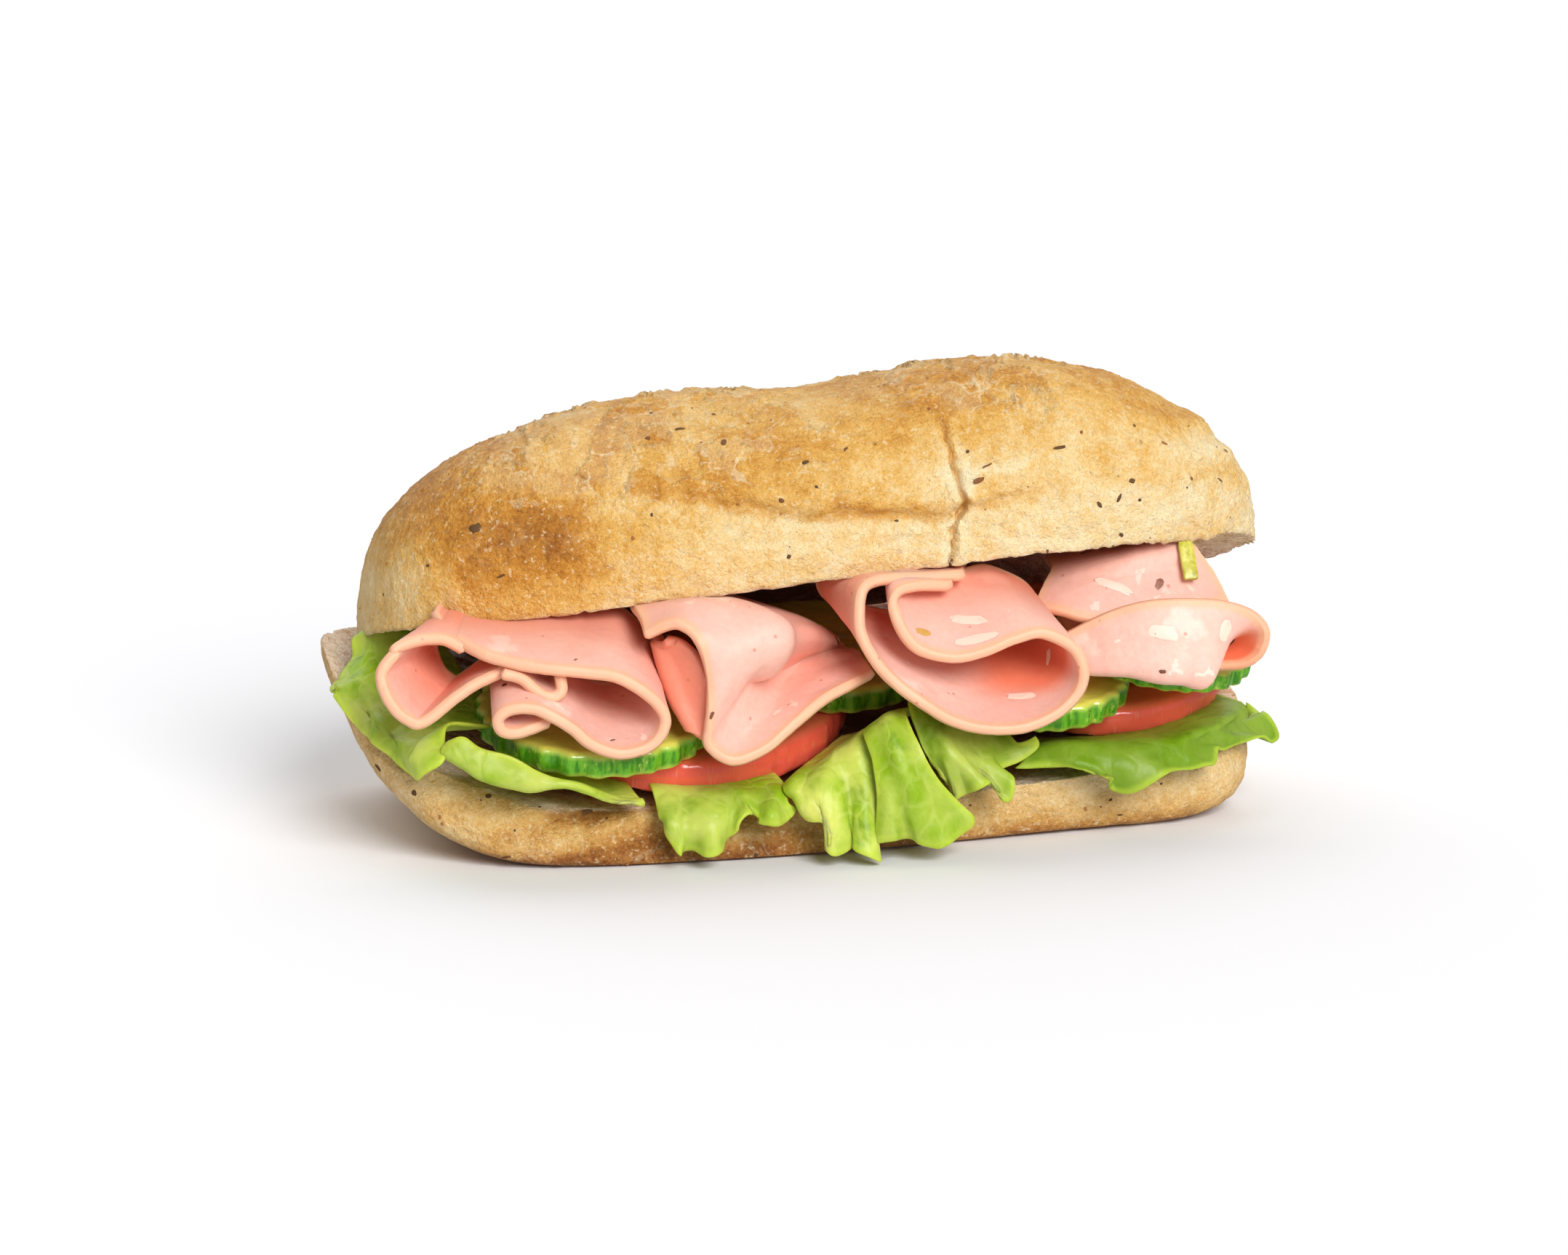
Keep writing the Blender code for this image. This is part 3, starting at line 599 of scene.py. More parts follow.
def makeBase():
    relief = baseRelief
    base = nodeCopy("bread_bottom", "base")
    creaseSharp(base.data, 40, 0.8)
    mesh = subdivided(base, 3)
    p, n = pointsOf(mesh), normalsOf(mesh)
    x, y, z = p.T
    crumb = smoothStep(0.72, 0.88, n[:, 2]) * smoothStep(8, 12, z)
    wall = smoothStep(-0.93, -0.7, n[:, 2]) * (1 - crumb)
    shift = relief["lumpHeight"] * lumps(p, relief["lumpSize"], 21)
    shift += relief["dimpleHeight"] * lumps(p, relief["dimpleSize"], 22)
    folds = np.sin((z - 0.28 * x + 1.6 * lumps(p, 12, 23)) / 1.5) * hill(x, -38, 30) * smoothStep(3, -10, y)
    shift += relief["foldHeight"] * folds * smoothStep(2, 8, z)
    pits = lumps(p, 1.5, 24) + 0.6 * lumps(p, 0.9, 25)
    shift += 0.20 * pits + 0.14 * lumps(p, 2.7, 33)
    shift *= wall
    pores = lumps(p, 2.4, 26) + 0.7 * lumps(p, 1.1, 27)
    shift -= 0.5 * crumb * np.clip(pores, -0.2, 1)
    edge = hill(crumb, 0.5, 0.3)
    shift += 0.35 * edge * lumps(p, 1.4, 28)
    moved = p + n * shift[:, None]
    moved[:, 2] = np.maximum(moved[:, 2], 0.0)
    setPoints(mesh, moved)

    bake = 0.48 + 0.15 * lumps(p, 14, 29) + 0.10 * lumps(p, 4, 30) + 0.06 * lumps(p, 1.7, 34)
    bake += 0.30 * smoothStep(5.0, 1.0, z + 0.8 * lumps(p, 6, 31)) + 0.16 * smoothStep(-86, -99, x)
    bake += 0.24 * hill(x, -42, 36) - 0.16 * smoothStep(-55, -75, x) * smoothStep(4, 10, z)
    bake -= 0.14 * smoothStep(25, 45, x) * smoothStep(4, 9, z) - 0.10 * smoothStep(80, 95, x)
    # painted shade along the folds: darker in their hollows and paler on their ridges
    bake -= 0.20 * folds
    store(mesh, "bake", np.clip(bake, 0, 1))
    store(mesh, "flour", np.clip(0.35 + 0.6 * lumps(p, 10, 32), 0, 1) * wall)
    store(mesh, "edgeLight", np.zeros(len(p)))
    store(mesh, "flaky", 0.35 * wall)
    store(mesh, "crumb", crumb)
    store(mesh, "hollow", np.zeros(len(p)))
    return base


crustLook = {
    "lid": [(0.0, (255, 234, 186)), (0.22, (250, 213, 146)), (0.45, (238, 184, 92)), (0.7, (212, 144, 48)),
            (1.0, (158, 92, 20))],
    "base": [(0.0, (250, 226, 180)), (0.25, (243, 205, 140)), (0.5, (226, 176, 100)), (0.75, (196, 134, 62)),
             (1.0, (150, 88, 34))],
    "flour": (252, 236, 206), "crumb": (252, 226, 196), "crumbHole": (226, 184, 144),
    "crumbShade": (150, 70, 38), "freckle": (176, 112, 56), "paleFlakeAndGlint": (253, 232, 186),
    "flakeSize": 0.014, "roughness": 0.46,
}


def crustMaterial(name, stops):
    look = crustLook
    made, tree, shader, place = startMaterial(name)
    bake = attribute(tree, "bake")
    fine = mathNode(tree, "MULTIPLY_ADD", grain(tree, place, 0.0034, 5.0, 0.7), 0.62)
    fine.node.inputs[2].default_value = -0.34
    finer = mathNode(tree, "MULTIPLY_ADD", grain(tree, place, 0.0008, 3.0, 0.7), 0.60)
    finer.node.inputs[2].default_value = -0.33
    baked = mathNode(tree, "ADD", mathNode(tree, "ADD", bake, fine), finer)
    colour = ramp(tree, baked, [(position, paint(*rgb)) for position, rgb in stops])
    # thin flour in patches, and freckles
    patch = remap(tree, grain(tree, place, 0.0080, 4.0, 0.6), 0.48, 0.70)
    dust = remap(tree, grain(tree, place, 0.0007, 3.0, 0.6), 0.40, 0.75)
    dusty = mathNode(tree, "MULTIPLY", mathNode(tree, "MULTIPLY", dust, patch), attribute(tree, "flour"))
    colour = mixColour(tree, mathNode(tree, "MULTIPLY", dusty, 0.6), colour, paint(*look["flour"]))
    freckle = remap(tree, grain(tree, place, 0.0022, 2.0, 0.5), 0.69, 0.76, 0.0, 0.45)
    colour = mixColour(tree, freckle, colour, paint(*look["freckle"]))
    colour = mixColour(tree, mathNode(tree, "MULTIPLY", attribute(tree, "edgeLight"), 0.32), colour,
                       paint(*look["paleFlakeAndGlint"]))
    # small pale spots as painted glints, and the thin rims of papery flakes
    blister = remap(tree, grain(tree, place, 0.0011, 2.0, 0.5), 0.60, 0.68, 0.0, 0.45)
    # painted glints share the pale colour of the papery flakes
    colour = mixColour(tree, blister, colour, paint(*look["paleFlakeAndGlint"]))
    warped = bentPlace(tree, place, 130.0, 3.0, 0.014)
    toRim = cells(tree, warped, look["flakeSize"], "DISTANCE_TO_EDGE").outputs["Distance"]
    flakeRim = remap(tree, toRim, 0.036, 0.010)
    rimThere = remap(tree, grain(tree, place, 0.0060, 2.0), 0.44, 0.56)
    flaky = attribute(tree, "flaky")
    shownRim = mathNode(tree, "MULTIPLY", mathNode(tree, "MULTIPLY", flakeRim, rimThere), flaky)
    colour = mixColour(tree, mathNode(tree, "MULTIPLY", shownRim, 0.5), colour, paint(*look["paleFlakeAndGlint"]))
    flakeLift = mathNode(tree, "MULTIPLY", cellNumber(tree, cells(tree, warped, look["flakeSize"]), 0), flaky)
    colour = mixColour(tree, mathNode(tree, "MULTIPLY", remap(tree, flakeLift, 0.45, 0.60), 0.16), colour,
                       paint(*look["paleFlakeAndGlint"]))
    # painted shade in the crease groove and the crack, a darker tan that is partly the torn crumb's own colour
    colour = mixColour(tree, mathNode(tree, "MULTIPLY", attribute(tree, "hollow"), 0.4), colour,
                       paint(196, 138, 74))
    # crumb of the cut faces, with painted shade: darker and redder deeper inside the sandwich, but not near the ends
    holes = remap(tree, grain(tree, place, 0.0022, 4.0, 0.7), 0.36, 0.52)
    crumbColour = mixColour(tree, holes, paint(*look["crumbHole"]), paint(*look["crumb"]))
    along, depth, _ = addNode(tree, "ShaderNodeSeparateXYZ", {0: place}).outputs
    middle = remap(tree, mathNode(tree, "ABSOLUTE", along), 0.078, 0.062)
    deep = mathNode(tree, "MULTIPLY", remap(tree, depth, -0.044, -0.030, 0.0, 0.8), middle)
    # painted shade in the crumb inside the sandwich
    crumbColour = mixColour(tree, deep, crumbColour, paint(*look["crumbShade"]))
    colour = mixColour(tree, attribute(tree, "crumb"), colour, crumbColour)
    tree.links.new(colour, shader.inputs["Base Color"])
    skin = bump(tree, grain(tree, place, 0.0008, 4.0, 0.7), 0.8, 0.0006)
    skin = bump(tree, grain(tree, place, 0.0026, 5.0, 0.7), 0.9, 0.0019, skin)
    skin = bump(tree, flakeLift, 0.7, 0.0006, skin)
    tree.links.new(skin, shader.inputs["Normal"])
    setShader(shader, {"Roughness": look["roughness"], "Specular IOR Level": 0.38, "Subsurface Weight": 0.06,
                       "Subsurface Radius": (0.0040, 0.0022, 0.0010), "Subsurface Scale": 1.0})
    return made


lid = makeLid()
base = makeBase()
lidTree, baseTree = treeOf(lid), treeOf(base)
finishPiece(lid, crustMaterial("bakedLid", crustLook["lid"]), "bread", "bread_top")
finishPiece(base, crustMaterial("bakedBase", crustLook["base"]), "bread", "bread_bottom")


print("stage: herbs")

herbLook = {
    "herb": {"density": 260.0, "small": 0.3, "large": 0.9, "length": 1.3, "width": 0.42, "height": 0.22, "seed": 4},
    "crumbs": {"density": 5200.0, "small": 0.25, "large": 0.8, "length": 0.62, "width": 0.45, "height": 0.24,
               "seed": 9},
    "colours": [(0.0, (66, 46, 22)), (0.4, (96, 64, 28)), (0.7, (134, 80, 34)), (1.0, (168, 108, 52))],
}
# Larger leaves of herb: place in the view across and down, length, width and turn in degrees
placedHerbs = {
    "bread_top": [
        (1459, 615, 3.6, 0.7, 3), (1357, 641, 2.4, 0.4, 25), (1345, 660, 3, 1.1, 15), (1556, 661, 1.3, 1.1, 0),
        (1539, 684, 2, 0.9, 60), (1512, 694, 1.4, 0.8, -60), (1567, 687, 0.8, 0.6, 0), (1542, 735, 1.1, 0.8, -30),
        (1684, 619, 1.6, 0.8, -45), (1678, 660, 1.5, 0.4, -40), (1234, 717, 0.9, 0.5, 0), (1107, 635, 1.6, 0.8, 20),
        (653, 726, 2.4, 1.9, 30), (690, 792, 2, 0.5, 25), (995, 608, 1.6, 1.2, 70), (1073, 687, 1.2, 1, 0),
        (936, 590, 2.2, 0.6, 10), (890, 602, 1, 1, 0), (588, 777, 0.8, 0.6, 0), (505, 770, 2.2, 0.9, 60)],
    "bread_bottom": [
        (521, 1057, 2.6, 1.2, -30), (570, 1090, 1.2, 1.2, 0), (672, 1095, 1.3, 1, 0), (808, 1117, 2.8, 1.2, 10),
        (743, 1111, 0.7, 0.5, 0), (696, 1178, 2.4, 0.7, 15), (1385, 1100, 1.6, 0.8, 20), (1540, 1120, 1.2, 0.5, 0)],
}


# Geometry Nodes that strew flat grains over a crust, lying along it. Lengths are in metres
def herbTree():
    tree = bpy.data.node_groups.new("strewnHerbs", "GeometryNodeTree")
    sockets = {}
    for name, kind in (("Crust", "NodeSocketGeometry"), ("Density", "NodeSocketFloat"),
                       ("Small", "NodeSocketFloat"), ("Large", "NodeSocketFloat"), ("Grain", "NodeSocketVector"), ("Seed", "NodeSocketInt"),
                       ("Finish", "NodeSocketMaterial")):
        sockets[name] = tree.interface.new_socket(name, in_out="INPUT", socket_type=kind)
    tree.interface.new_socket("Herbs", in_out="OUTPUT", socket_type="NodeSocketGeometry")
    given = tree.nodes.new("NodeGroupInput").outputs
    crumb = addNode(tree, "GeometryNodeInputNamedAttribute", {"Name": "crumb"}, data_type="FLOAT").outputs[0]
    onCrust = addNode(tree, "FunctionNodeCompare", {0: crumb, 1: 0.3}, operation="LESS_THAN").outputs[0]
    spread = addNode(tree, "GeometryNodeDistributePointsOnFaces", {
        "Mesh": given["Crust"], "Selection": onCrust, "Density": given["Density"], "Seed": given["Seed"]})
    ball = addNode(tree, "GeometryNodeMeshIcoSphere", {"Radius": 1.0, "Subdivisions": 2}).outputs[0]
    grain = addNode(tree, "GeometryNodeTransform", {"Geometry": ball, "Scale": given["Grain"]}).outputs[0]
    size = addNode(tree, "FunctionNodeRandomValue", {
        2: given["Small"], 3: given["Large"], "Seed": given["Seed"]}).outputs[1]
    laid = addNode(tree, "GeometryNodeInstanceOnPoints", {
        "Points": spread.outputs["Points"], "Instance": grain, "Rotation": spread.outputs["Rotation"],
        "Scale": size})
    turn = addNode(tree, "FunctionNodeRandomValue", {2: 0.0, 3: 2 * math.pi, "Seed": 3}).outputs[1]
    around = addNode(tree, "ShaderNodeCombineXYZ", {2: turn}).outputs[0]
    turned = addNode(tree, "GeometryNodeRotateInstances", {
        "Instances": laid.outputs[0], "Rotation": around}).outputs[0]
    tone = addNode(tree, "FunctionNodeRandomValue", {2: 0.0, 3: 1.0, "Seed": 5}).outputs[1]
    toned = addNode(tree, "GeometryNodeStoreNamedAttribute", {"Geometry": turned, "Name": "tone", "Value": tone},
                    data_type="FLOAT", domain="INSTANCE").outputs[0]
    real = addNode(tree, "GeometryNodeRealizeInstances", {"Geometry": toned}).outputs[0]
    rough = addNode(tree, "ShaderNodeTexNoise", {"Scale": 1400.0}).outputs["Color"]
    rough = addNode(tree, "ShaderNodeVectorMath", {0: rough, 1: (0.5, 0.5, 0.5)}, operation="SUBTRACT").outputs[0]
    rough = addNode(tree, "ShaderNodeVectorMath", {0: rough, "Scale": 0.0007}, operation="SCALE").outputs[0]
    bent = addNode(tree, "GeometryNodeSetPosition", {"Geometry": real, "Offset": rough}).outputs[0]
    done = addNode(tree, "GeometryNodeSetMaterial", {"Geometry": bent, "Material": given["Finish"]}).outputs[0]
    result = tree.nodes.new("NodeGroupOutput")
    tree.links.new(done, result.inputs[0])
    return tree, sockets


# The mesh that a Geometry Nodes tree makes with these input values
def grownMesh(tree, sockets, values, start=None):
    mesh = start.copy() if start else bpy.data.meshes.new("seed")
    holder = newObject("seed", mesh)
    modifier = holder.modifiers.new("grow", "NODES")
    modifier.node_group = tree
    for name, value in values.items():
        modifier[sockets[name].identifier] = value
    bpy.context.view_layer.update()
    made = bpy.data.meshes.new_from_object(holder.evaluated_get(bpy.context.evaluated_depsgraph_get()))
    bpy.data.objects.remove(holder)
    return made


def herbMaterial():
    made, tree, shader, place = startMaterial("bakedHerb")
    mottle = mathNode(tree, "MULTIPLY", grain(tree, place, 0.0006), 0.3)
    tone = mathNode(tree, "ADD", attribute(tree, "tone"), mottle)
    colour = ramp(tree, tone, [(position, paint(*rgb)) for position, rgb in herbLook["colours"]])
    tree.links.new(colour, shader.inputs["Base Color"])
    setShader(shader, {"Roughness": 0.7})
    return made


def strewHerbs(kind, crust, name):
    look = herbLook[kind]
    values = {"Density": look["density"], "Small": look["small"], "Large": look["large"], "Seed": look["seed"],
              "Grain": [look[side] * mm for side in ("length", "width", "height")], "Finish": herbFinish}
    mesh = grownMesh(*strewnHerbs, values, crust.data)
    finishPiece(newObject(name, mesh), herbFinish, "bread")


# The x and z in millimetres, kept to tenths, at which a CAD node shows at a place in the view
def crustPlace(nodeTree, across, down):
    start, line = sightLine(across, down)
    shown = nodeTree.ray_cast(Vector(start), Vector(line / np.linalg.norm(line)))[0]
    return round(shown.x * 1000, 1), round(shown.z * 1000, 1)


# Larger leaves of herb, each pressed onto the front of a crust
def placeHerbs(name, tree, nodeName):
    grown = bmesh.new()
    nodeTree = treeOf(frame["nodes"][nodeName])
    for across, down, length, width, turn in placedHerbs[nodeName]:
        x, z = crustPlace(nodeTree, across, down)
        spot, normal, _, _ = tree.ray_cast(Vector((x, -90, z)) * mm, Vector((0, 1, 0)))
        if not spot:
            continue
        size = Matrix.Diagonal((length / 2 * mm, width / 2 * mm, 0.22 * mm, 1))
        lay = normal.to_track_quat("Z", "Y").to_matrix().to_4x4() @ Matrix.Rotation(math.radians(turn), 4, "Z")
        made = bmesh.ops.create_icosphere(grown, subdivisions=3, radius=1.0)
        for vertex in made["verts"]:
            bent = vertex.co + 0.35 * noise.noise_vector(vertex.co * 1.3 + Vector((x, z, 0)))
            vertex.co = Matrix.Translation(spot) @ lay @ size @ bent
    mesh = bpy.data.meshes.new(name)
    grown.to_mesh(mesh)
    grown.free()
    store(mesh, "tone", [0.25 + 0.35 * noise.noise(vertex.co / mm / 9) for vertex in mesh.vertices])
    finishPiece(newObject(name, mesh), herbFinish, "bread")


strewnHerbs = herbTree()
herbFinish = herbMaterial()
for kind in ("herb", "crumbs"):
    strewHerbs(kind, lid, "lid_" + kind)
    strewHerbs(kind, base, "base_" + kind)
placeHerbs("lid_herb_leaves", lidTree, "bread_top")
placeHerbs("base_herb_leaves", baseTree, "bread_bottom")


print("stage: mortadella")

# The orange tint, the shaded pieces, the tube and the amounts per slice below paint shade into the meat, deep in the
# folds and under the lid
meatLook = {
    "pale": (250, 211, 194), "deep": (236, 166, 149), "rim": (246, 185, 146), "fat": (255, 230, 214),
    "shadeOrange": (238, 122, 84), "shaded": ("mortadella_centre_wall",),
    "tube": {"node": "mortadella_right", "reach": (78, 82)},
    "specks": [(0.0, (84, 48, 34)), (0.25, (132, 78, 54)), (0.5, (180, 116, 80)), (0.7, (212, 160, 74)),
               (0.95, (252, 211, 191))],
    "glow": {"mortadella_left": 0.6, "mortadella_left_flap": 0.5, "mortadella_roll": 0.7,
             "mortadella_curl": 0.75, "mortadella_centre": 0.35, "mortadella_centre_wall": 0.8,
             "mortadella_right": 0.35, "mortadella_right_upper": 0.1},
    "pinhole": (206, 118, 98), "pepper": (112, 70, 46), "fatSize": 0.012, "pepperSize": 0.015, "roughness": 0.5,
    "rimBand": 0.7, "waveHeight": 0.16, "waveSize": 7.0,
    "thickness": 2.3, "columns": 220, "rows": 60, "clearance": 1.4,
}
# Slices pushed in: their front rim and the way in from a few places along it, in millimetres
pushedSlices = {
    "mortadella_left": {
        "rim": [
            (-84.5, -36, 51.5), (-83, -42, 49), (-80, -47, 47), (-76.5, -51, 45.5), (-70.5, -54, 44),
            (-64, -56, 43), (-56, -57, 42), (-50.5, -58, 41), (-45.5, -58.5, 38), (-42, -58.5, 34.5),
            (-41, -58.5, 31.5), (-42.5, -58.5, 28), (-46, -58.5, 26), (-51, -58.5, 25.5),
            (-56.5, -58.5, 28), (-60, -58.5, 31), (-64, -58.5, 33.7), (-68, -58, 35.5),
            (-72.6, -57.5, 35.4), (-74.9, -57, 33.5), (-74, -56.5, 31), (-71.2, -56, 30.2), (-68, -55.5, 30.8),
            (-64.5, -55, 32)],
        "inwards": [
            (0.00, 5.5, 18, 2.5), (0.17, 8, 24, 7.5), (0.38, 5, 26, 9.5), (0.49, 1.5, 23.5, 10.5),
            (0.57, -1, 22, 10.5), (0.69, 1.5, 21.5, 9.5), (0.82, 4.5, 21.5, 7.5), (0.90, 2, 21.5, 6),
            (1.00, 3.5, 19.5, 8)],
    },
    "mortadella_roll": {
        "rim": [
            (-70, -50, 43), (-73.5, -50, 41.6), (-78.4, -50.5, 39.6), (-82.7, -51, 37), (-87.2, -51, 33.6),
            (-90.3, -51, 32.1), (-92.4, -51, 33), (-94.6, -51, 34.8), (-96.6, -50.5, 38), (-97.5, -49.8, 41.6),
            (-96.8, -49.5, 43.9), (-94.8, -49, 46), (-94, -48.5, 47.2), (-90.8, -48, 48.2), (-87.5, -47.5, 48.6),
            (-83.8, -47, 48.2), (-80.4, -47, 46.2)],
        "inwards": [
            (0.00, 5, 18, -0.5), (0.27, 9, 18, 3.5), (0.41, 11, 18, 5.5), (0.56, 13.5, 18, 3.5),
            (0.68, 13.5, 17.5, 2.5), (0.84, 10, 17.5, 3), (1.00, 6.5, 17.5, 3)],
    },
    "mortadella_curl": {
        "rim": [
            (24, -46.5, 57), (17.5, -48, 57.2), (10.5, -49, 57.5), (4.5, -50.8, 57.4), (1.5, -52.5, 56),
            (0.4, -53.8, 52), (0.6, -55, 47), (3.6, -56.5, 41), (7.6, -57.5, 36.7), (13.1, -58.5, 32.4),
            (18.8, -59, 29), (26.5, -59, 26.8), (34.3, -59, 26.9), (41.2, -58.5, 29.3), (46, -58, 33.6),
            (47, -58, 38.3), (44.7, -57.5, 43), (38.5, -57, 46), (32.7, -57, 45), (25.8, -57.5, 42.6),
            (19.1, -57.5, 41.8), (12.5, -57, 43.6), (8.8, -56.3, 47.4), (7.3, -55, 52), (8.8, -52.6, 55),
            (13, -50.6, 55.8), (21, -48, 55.2)],
        "inwards": [
            (0.00, 6.5, 18, -1), (0.08, 1.5, 21.5, -0.5), (0.15, -8, 22.5, -1), (0.17, -6, 20.5, 0),
            (0.20, -2, 20, 2), (0.24, 3, 21, 8), (0.30, 6, 23, 12), (0.42, 7, 26, 16), (0.53, -1, 26, 13),
            (0.57, -3.5, 26, 9), (0.64, -7, 22, 9.5), (0.70, -8, 18, 11), (0.75, -3, 17.5, 13), (0.80, 4, 17, 15),
            (0.87, 3, 16, 9), (0.92, 1, 14, 4), (1.00, 3, 7, 1)],
    },
}
# A small torn flap that hangs inside the left slice
tornFlap = {
    "rim": [(-73, -53, 42), (-69.5, -53.5, 41), (-66.8, -54, 38.6), (-64.8, -54.5, 37.2), (-62.8, -54.5, 37),
            (-61.4, -54.5, 38.4), (-61.6, -54, 41.2)],
    "inwards": [(0.0, 3, 16, 1), (0.5, 2, 15, 3.5), (1.0, 1, 14, 3)],
}
# Specks and pale patches of fat in the meat: x, z, length, width, turn in degrees and tone, where 1.2 is fat
meatSpecks = [
    (0.5, 42.1, 2.6, 0.6, -60, 0.06), (-17.3, 37.2, 4.2, 0.35, 5, 0.06), (-31.7, 32.9, 1.6, 0.8, 60, 0.1),
    (13.8, 47, 3.4, 1.8, -20, 0.6), (68.7, 52.2, 2.6, 1.6, 60, 0.2), (65, 36.5, 1.5, 0.8, 0, 0.06),
    (-51.4, 28.1, 1.2, 0.4, 0, 0.1), (-58.5, 44.6, 0.9, 0.4, 30, 0.2), (83.6, 39.7, 4.2, 1.3, 45, 0.0),
    (24, 48.6, 7.5, 2.4, -5, 1.2), (24.6, 45.4, 8.5, 2.4, 20, 1.2), (65.8, 44.2, 6.0, 3.2, -12, 1.2),
    (79.1, 44.2, 4.6, 2.6, 70, 1.2), (58.7, 52.3, 8.5, 2.2, -25, 1.2), (43.1, 38.8, 4.2, 1.0, -60, 1.2),
    (35.2, 32.2, 6.0, 2.0, 0, 1.2),
]
# The narrow slice of the centre: matching lines from its front rim inwards, as places in the view with their depth
centreFold = {
    "window": "middle",
    "lines": [
        [(1390, 548, -46), (1270, 622, -50), (1130, 697, -53), (980, 826, -56), (820, 962, -58), (640, 1028, -58.8),
         (505, 955, -58.6), (484, 850, -58.3), (503, 700, -58), (490, 550, -57.6), (430, 380, -56.8),
         (320, 272, -55), (165, 335, -52.5)],
        [(1385, 530, -44), (1260, 590, -47), (1110, 655, -49.5), (950, 760, -52), (800, 870, -54), (660, 925, -54.5),
         (555, 850, -55.5), (545, 760, -57), (560, 640, -58.2), (555, 500, -58), (500, 340, -56.5), (360, 225, -52),
         (140, 265, -49)],
        [(1370, 500, -41), (1240, 545, -43.5), (1100, 600, -45.5), (960, 680, -47.5), (830, 760, -49.5),
         (720, 780, -51), (625, 700, -53), (640, 620, -55.5), (665, 530, -57.2), (660, 420, -57.5), (600, 300, -55),
         (420, 175, -49), (110, 200, -45)],
        [(1350, 475, -38), (1220, 505, -40), (1100, 550, -41.5), (980, 605, -43), (870, 655, -45), (770, 660, -47),
         (695, 590, -49.5), (740, 530, -53.5), (790, 465, -56), (800, 370, -56.5), (740, 270, -54), (520, 150, -46),
         (90, 160, -41)],
        [(1330, 455, -36), (1200, 475, -37.5), (1090, 505, -38.5), (990, 545, -40), (910, 580, -41.5),
         (830, 580, -44), (770, 562, -47), (840, 530, -51), (905, 440, -54.5), (925, 350, -55), (870, 255, -52.5),
         (620, 158, -44), (80, 120, -38)],
        [(1300, 440, -34), (1190, 450, -35), (1100, 470, -36), (1020, 490, -37), (960, 505, -38.5), (910, 510, -40),
         (880, 500, -42), (895, 470, -44.5), (930, 420, -47), (950, 350, -48), (920, 280, -46), (680, 170, -41),
         (90, 90, -35)],
        [(1260, 425, -32), (1190, 420, -33), (1130, 430, -34), (1080, 440, -35), (1040, 450, -36), (1010, 450, -37),
         (1000, 435, -38.5), (1015, 410, -40), (1030, 375, -41.5), (1030, 340, -42), (1000, 295, -41),
         (800, 205, -37), (150, 60, -30)],
        [(1230, 400, -29), (1200, 395, -29.5), (1190, 393, -30), (1185, 392, -30.5), (1182, 391, -31),
         (1180, 389, -31.5), (1180, 385, -32), (1182, 380, -32.5), (1185, 375, -33), (1180, 362, -33),
         (1100, 310, -32), (900, 225, -29), (300, 40, -22)],
    ],
}
# Slices folded over a crease, as matching lines from the front rim inwards, in millimetres
foldedSlices = {
    "mortadella_centre": seenLines(centreFold, 2),
    "mortadella_centre_wall": [
        [(-31.5, -56, 27.5), (-30.6, -55.5, 31.5), (-30.8, -55, 37.5), (-33, -53.5, 43.5), (-36, -51.5, 46.6),
         (-39, -50.5, 46.8)],
        [(-33.5, -55.5, 28), (-34, -53.5, 32.5), (-35, -52, 37.5), (-36.5, -50.5, 42), (-38, -49.5, 45),
         (-39.5, -49, 46)],
        [(-35.2, -53.5, 29.5), (-37.6, -51.5, 34), (-38.9, -49.5, 38.5), (-39.7, -48, 42), (-40.2, -47, 44.5),
         (-40.4, -46, 45.8)],
        [(-33, -48, 31), (-36, -45, 35), (-37.5, -43, 39), (-38, -42, 42.5), (-38.5, -41, 45), (-39, -40, 46)],
    ],
    "mortadella_right_upper": [
        [(42.5, -37, 47.6), (47, -40.5, 47), (53, -42.5, 45.5), (63, -42, 46), (74, -41, 46.5), (84, -38, 47.5)],
        [(45.5, -33, 50.7), (51, -36, 51.7), (58, -38, 52.5), (67, -37.5, 53.5), (75, -37, 54), (81, -36, 54)],
        [(49, -28, 54), (55, -31, 55.5), (62, -33, 57), (68, -33, 58.5), (73, -33, 59.2), (77, -33, 59)],
        [(51, -16, 54), (57, -16, 55), (62, -16, 55.5), (67, -16, 56), (71, -16, 56.5), (74, -16, 56.5)],
    ],
    "mortadella_right": [
        [(46.5, -44, 42.7), (56, -46, 47.5), (64, -48, 49.8), (73, -49.5, 50.1), (80, -50, 49.3),
         (86, -50, 47), (89.5, -49, 42.9), (89, -47.5, 38), (86, -46, 35.3), (81, -44, 34.6)],
        [(48, -46, 39.5), (56.5, -48.5, 42), (64, -51, 42.5), (71.5, -52.5, 42), (77.5, -52.5, 41.5),
         (81.5, -49, 42.5), (84.5, -44, 42), (84.5, -41.5, 39.5), (82, -40.5, 37.5), (77, -39.5, 36.8)],
        [(50.5, -47, 36), (58.5, -50, 35.8), (64.5, -52, 34.6), (69.5, -53.2, 34.2), (74, -54, 33.6),
         (77, -48, 38), (80, -40, 41), (80, -37, 40.8), (77.5, -36, 40), (73.5, -35.5, 38.6)],
        [(51, -34, 39.2), (58, -35, 38.9), (64, -36, 38.7), (68.5, -36.5, 38.6), (71.5, -36, 39),
         (74, -34.5, 40.5), (76, -33, 42), (76, -31.5, 42), (74.5, -31, 41.4), (72, -31, 40.6)],
        [(52, -22, 42.3), (57, -22, 42.3), (62, -22, 42.3), (66, -22, 42.3), (69, -22, 42.6),
         (71, -21.5, 43.6), (72.5, -21, 44.6), (72.8, -20.5, 44.6), (72, -20.3, 44), (70, -20.2, 43.4)],
    ],
}


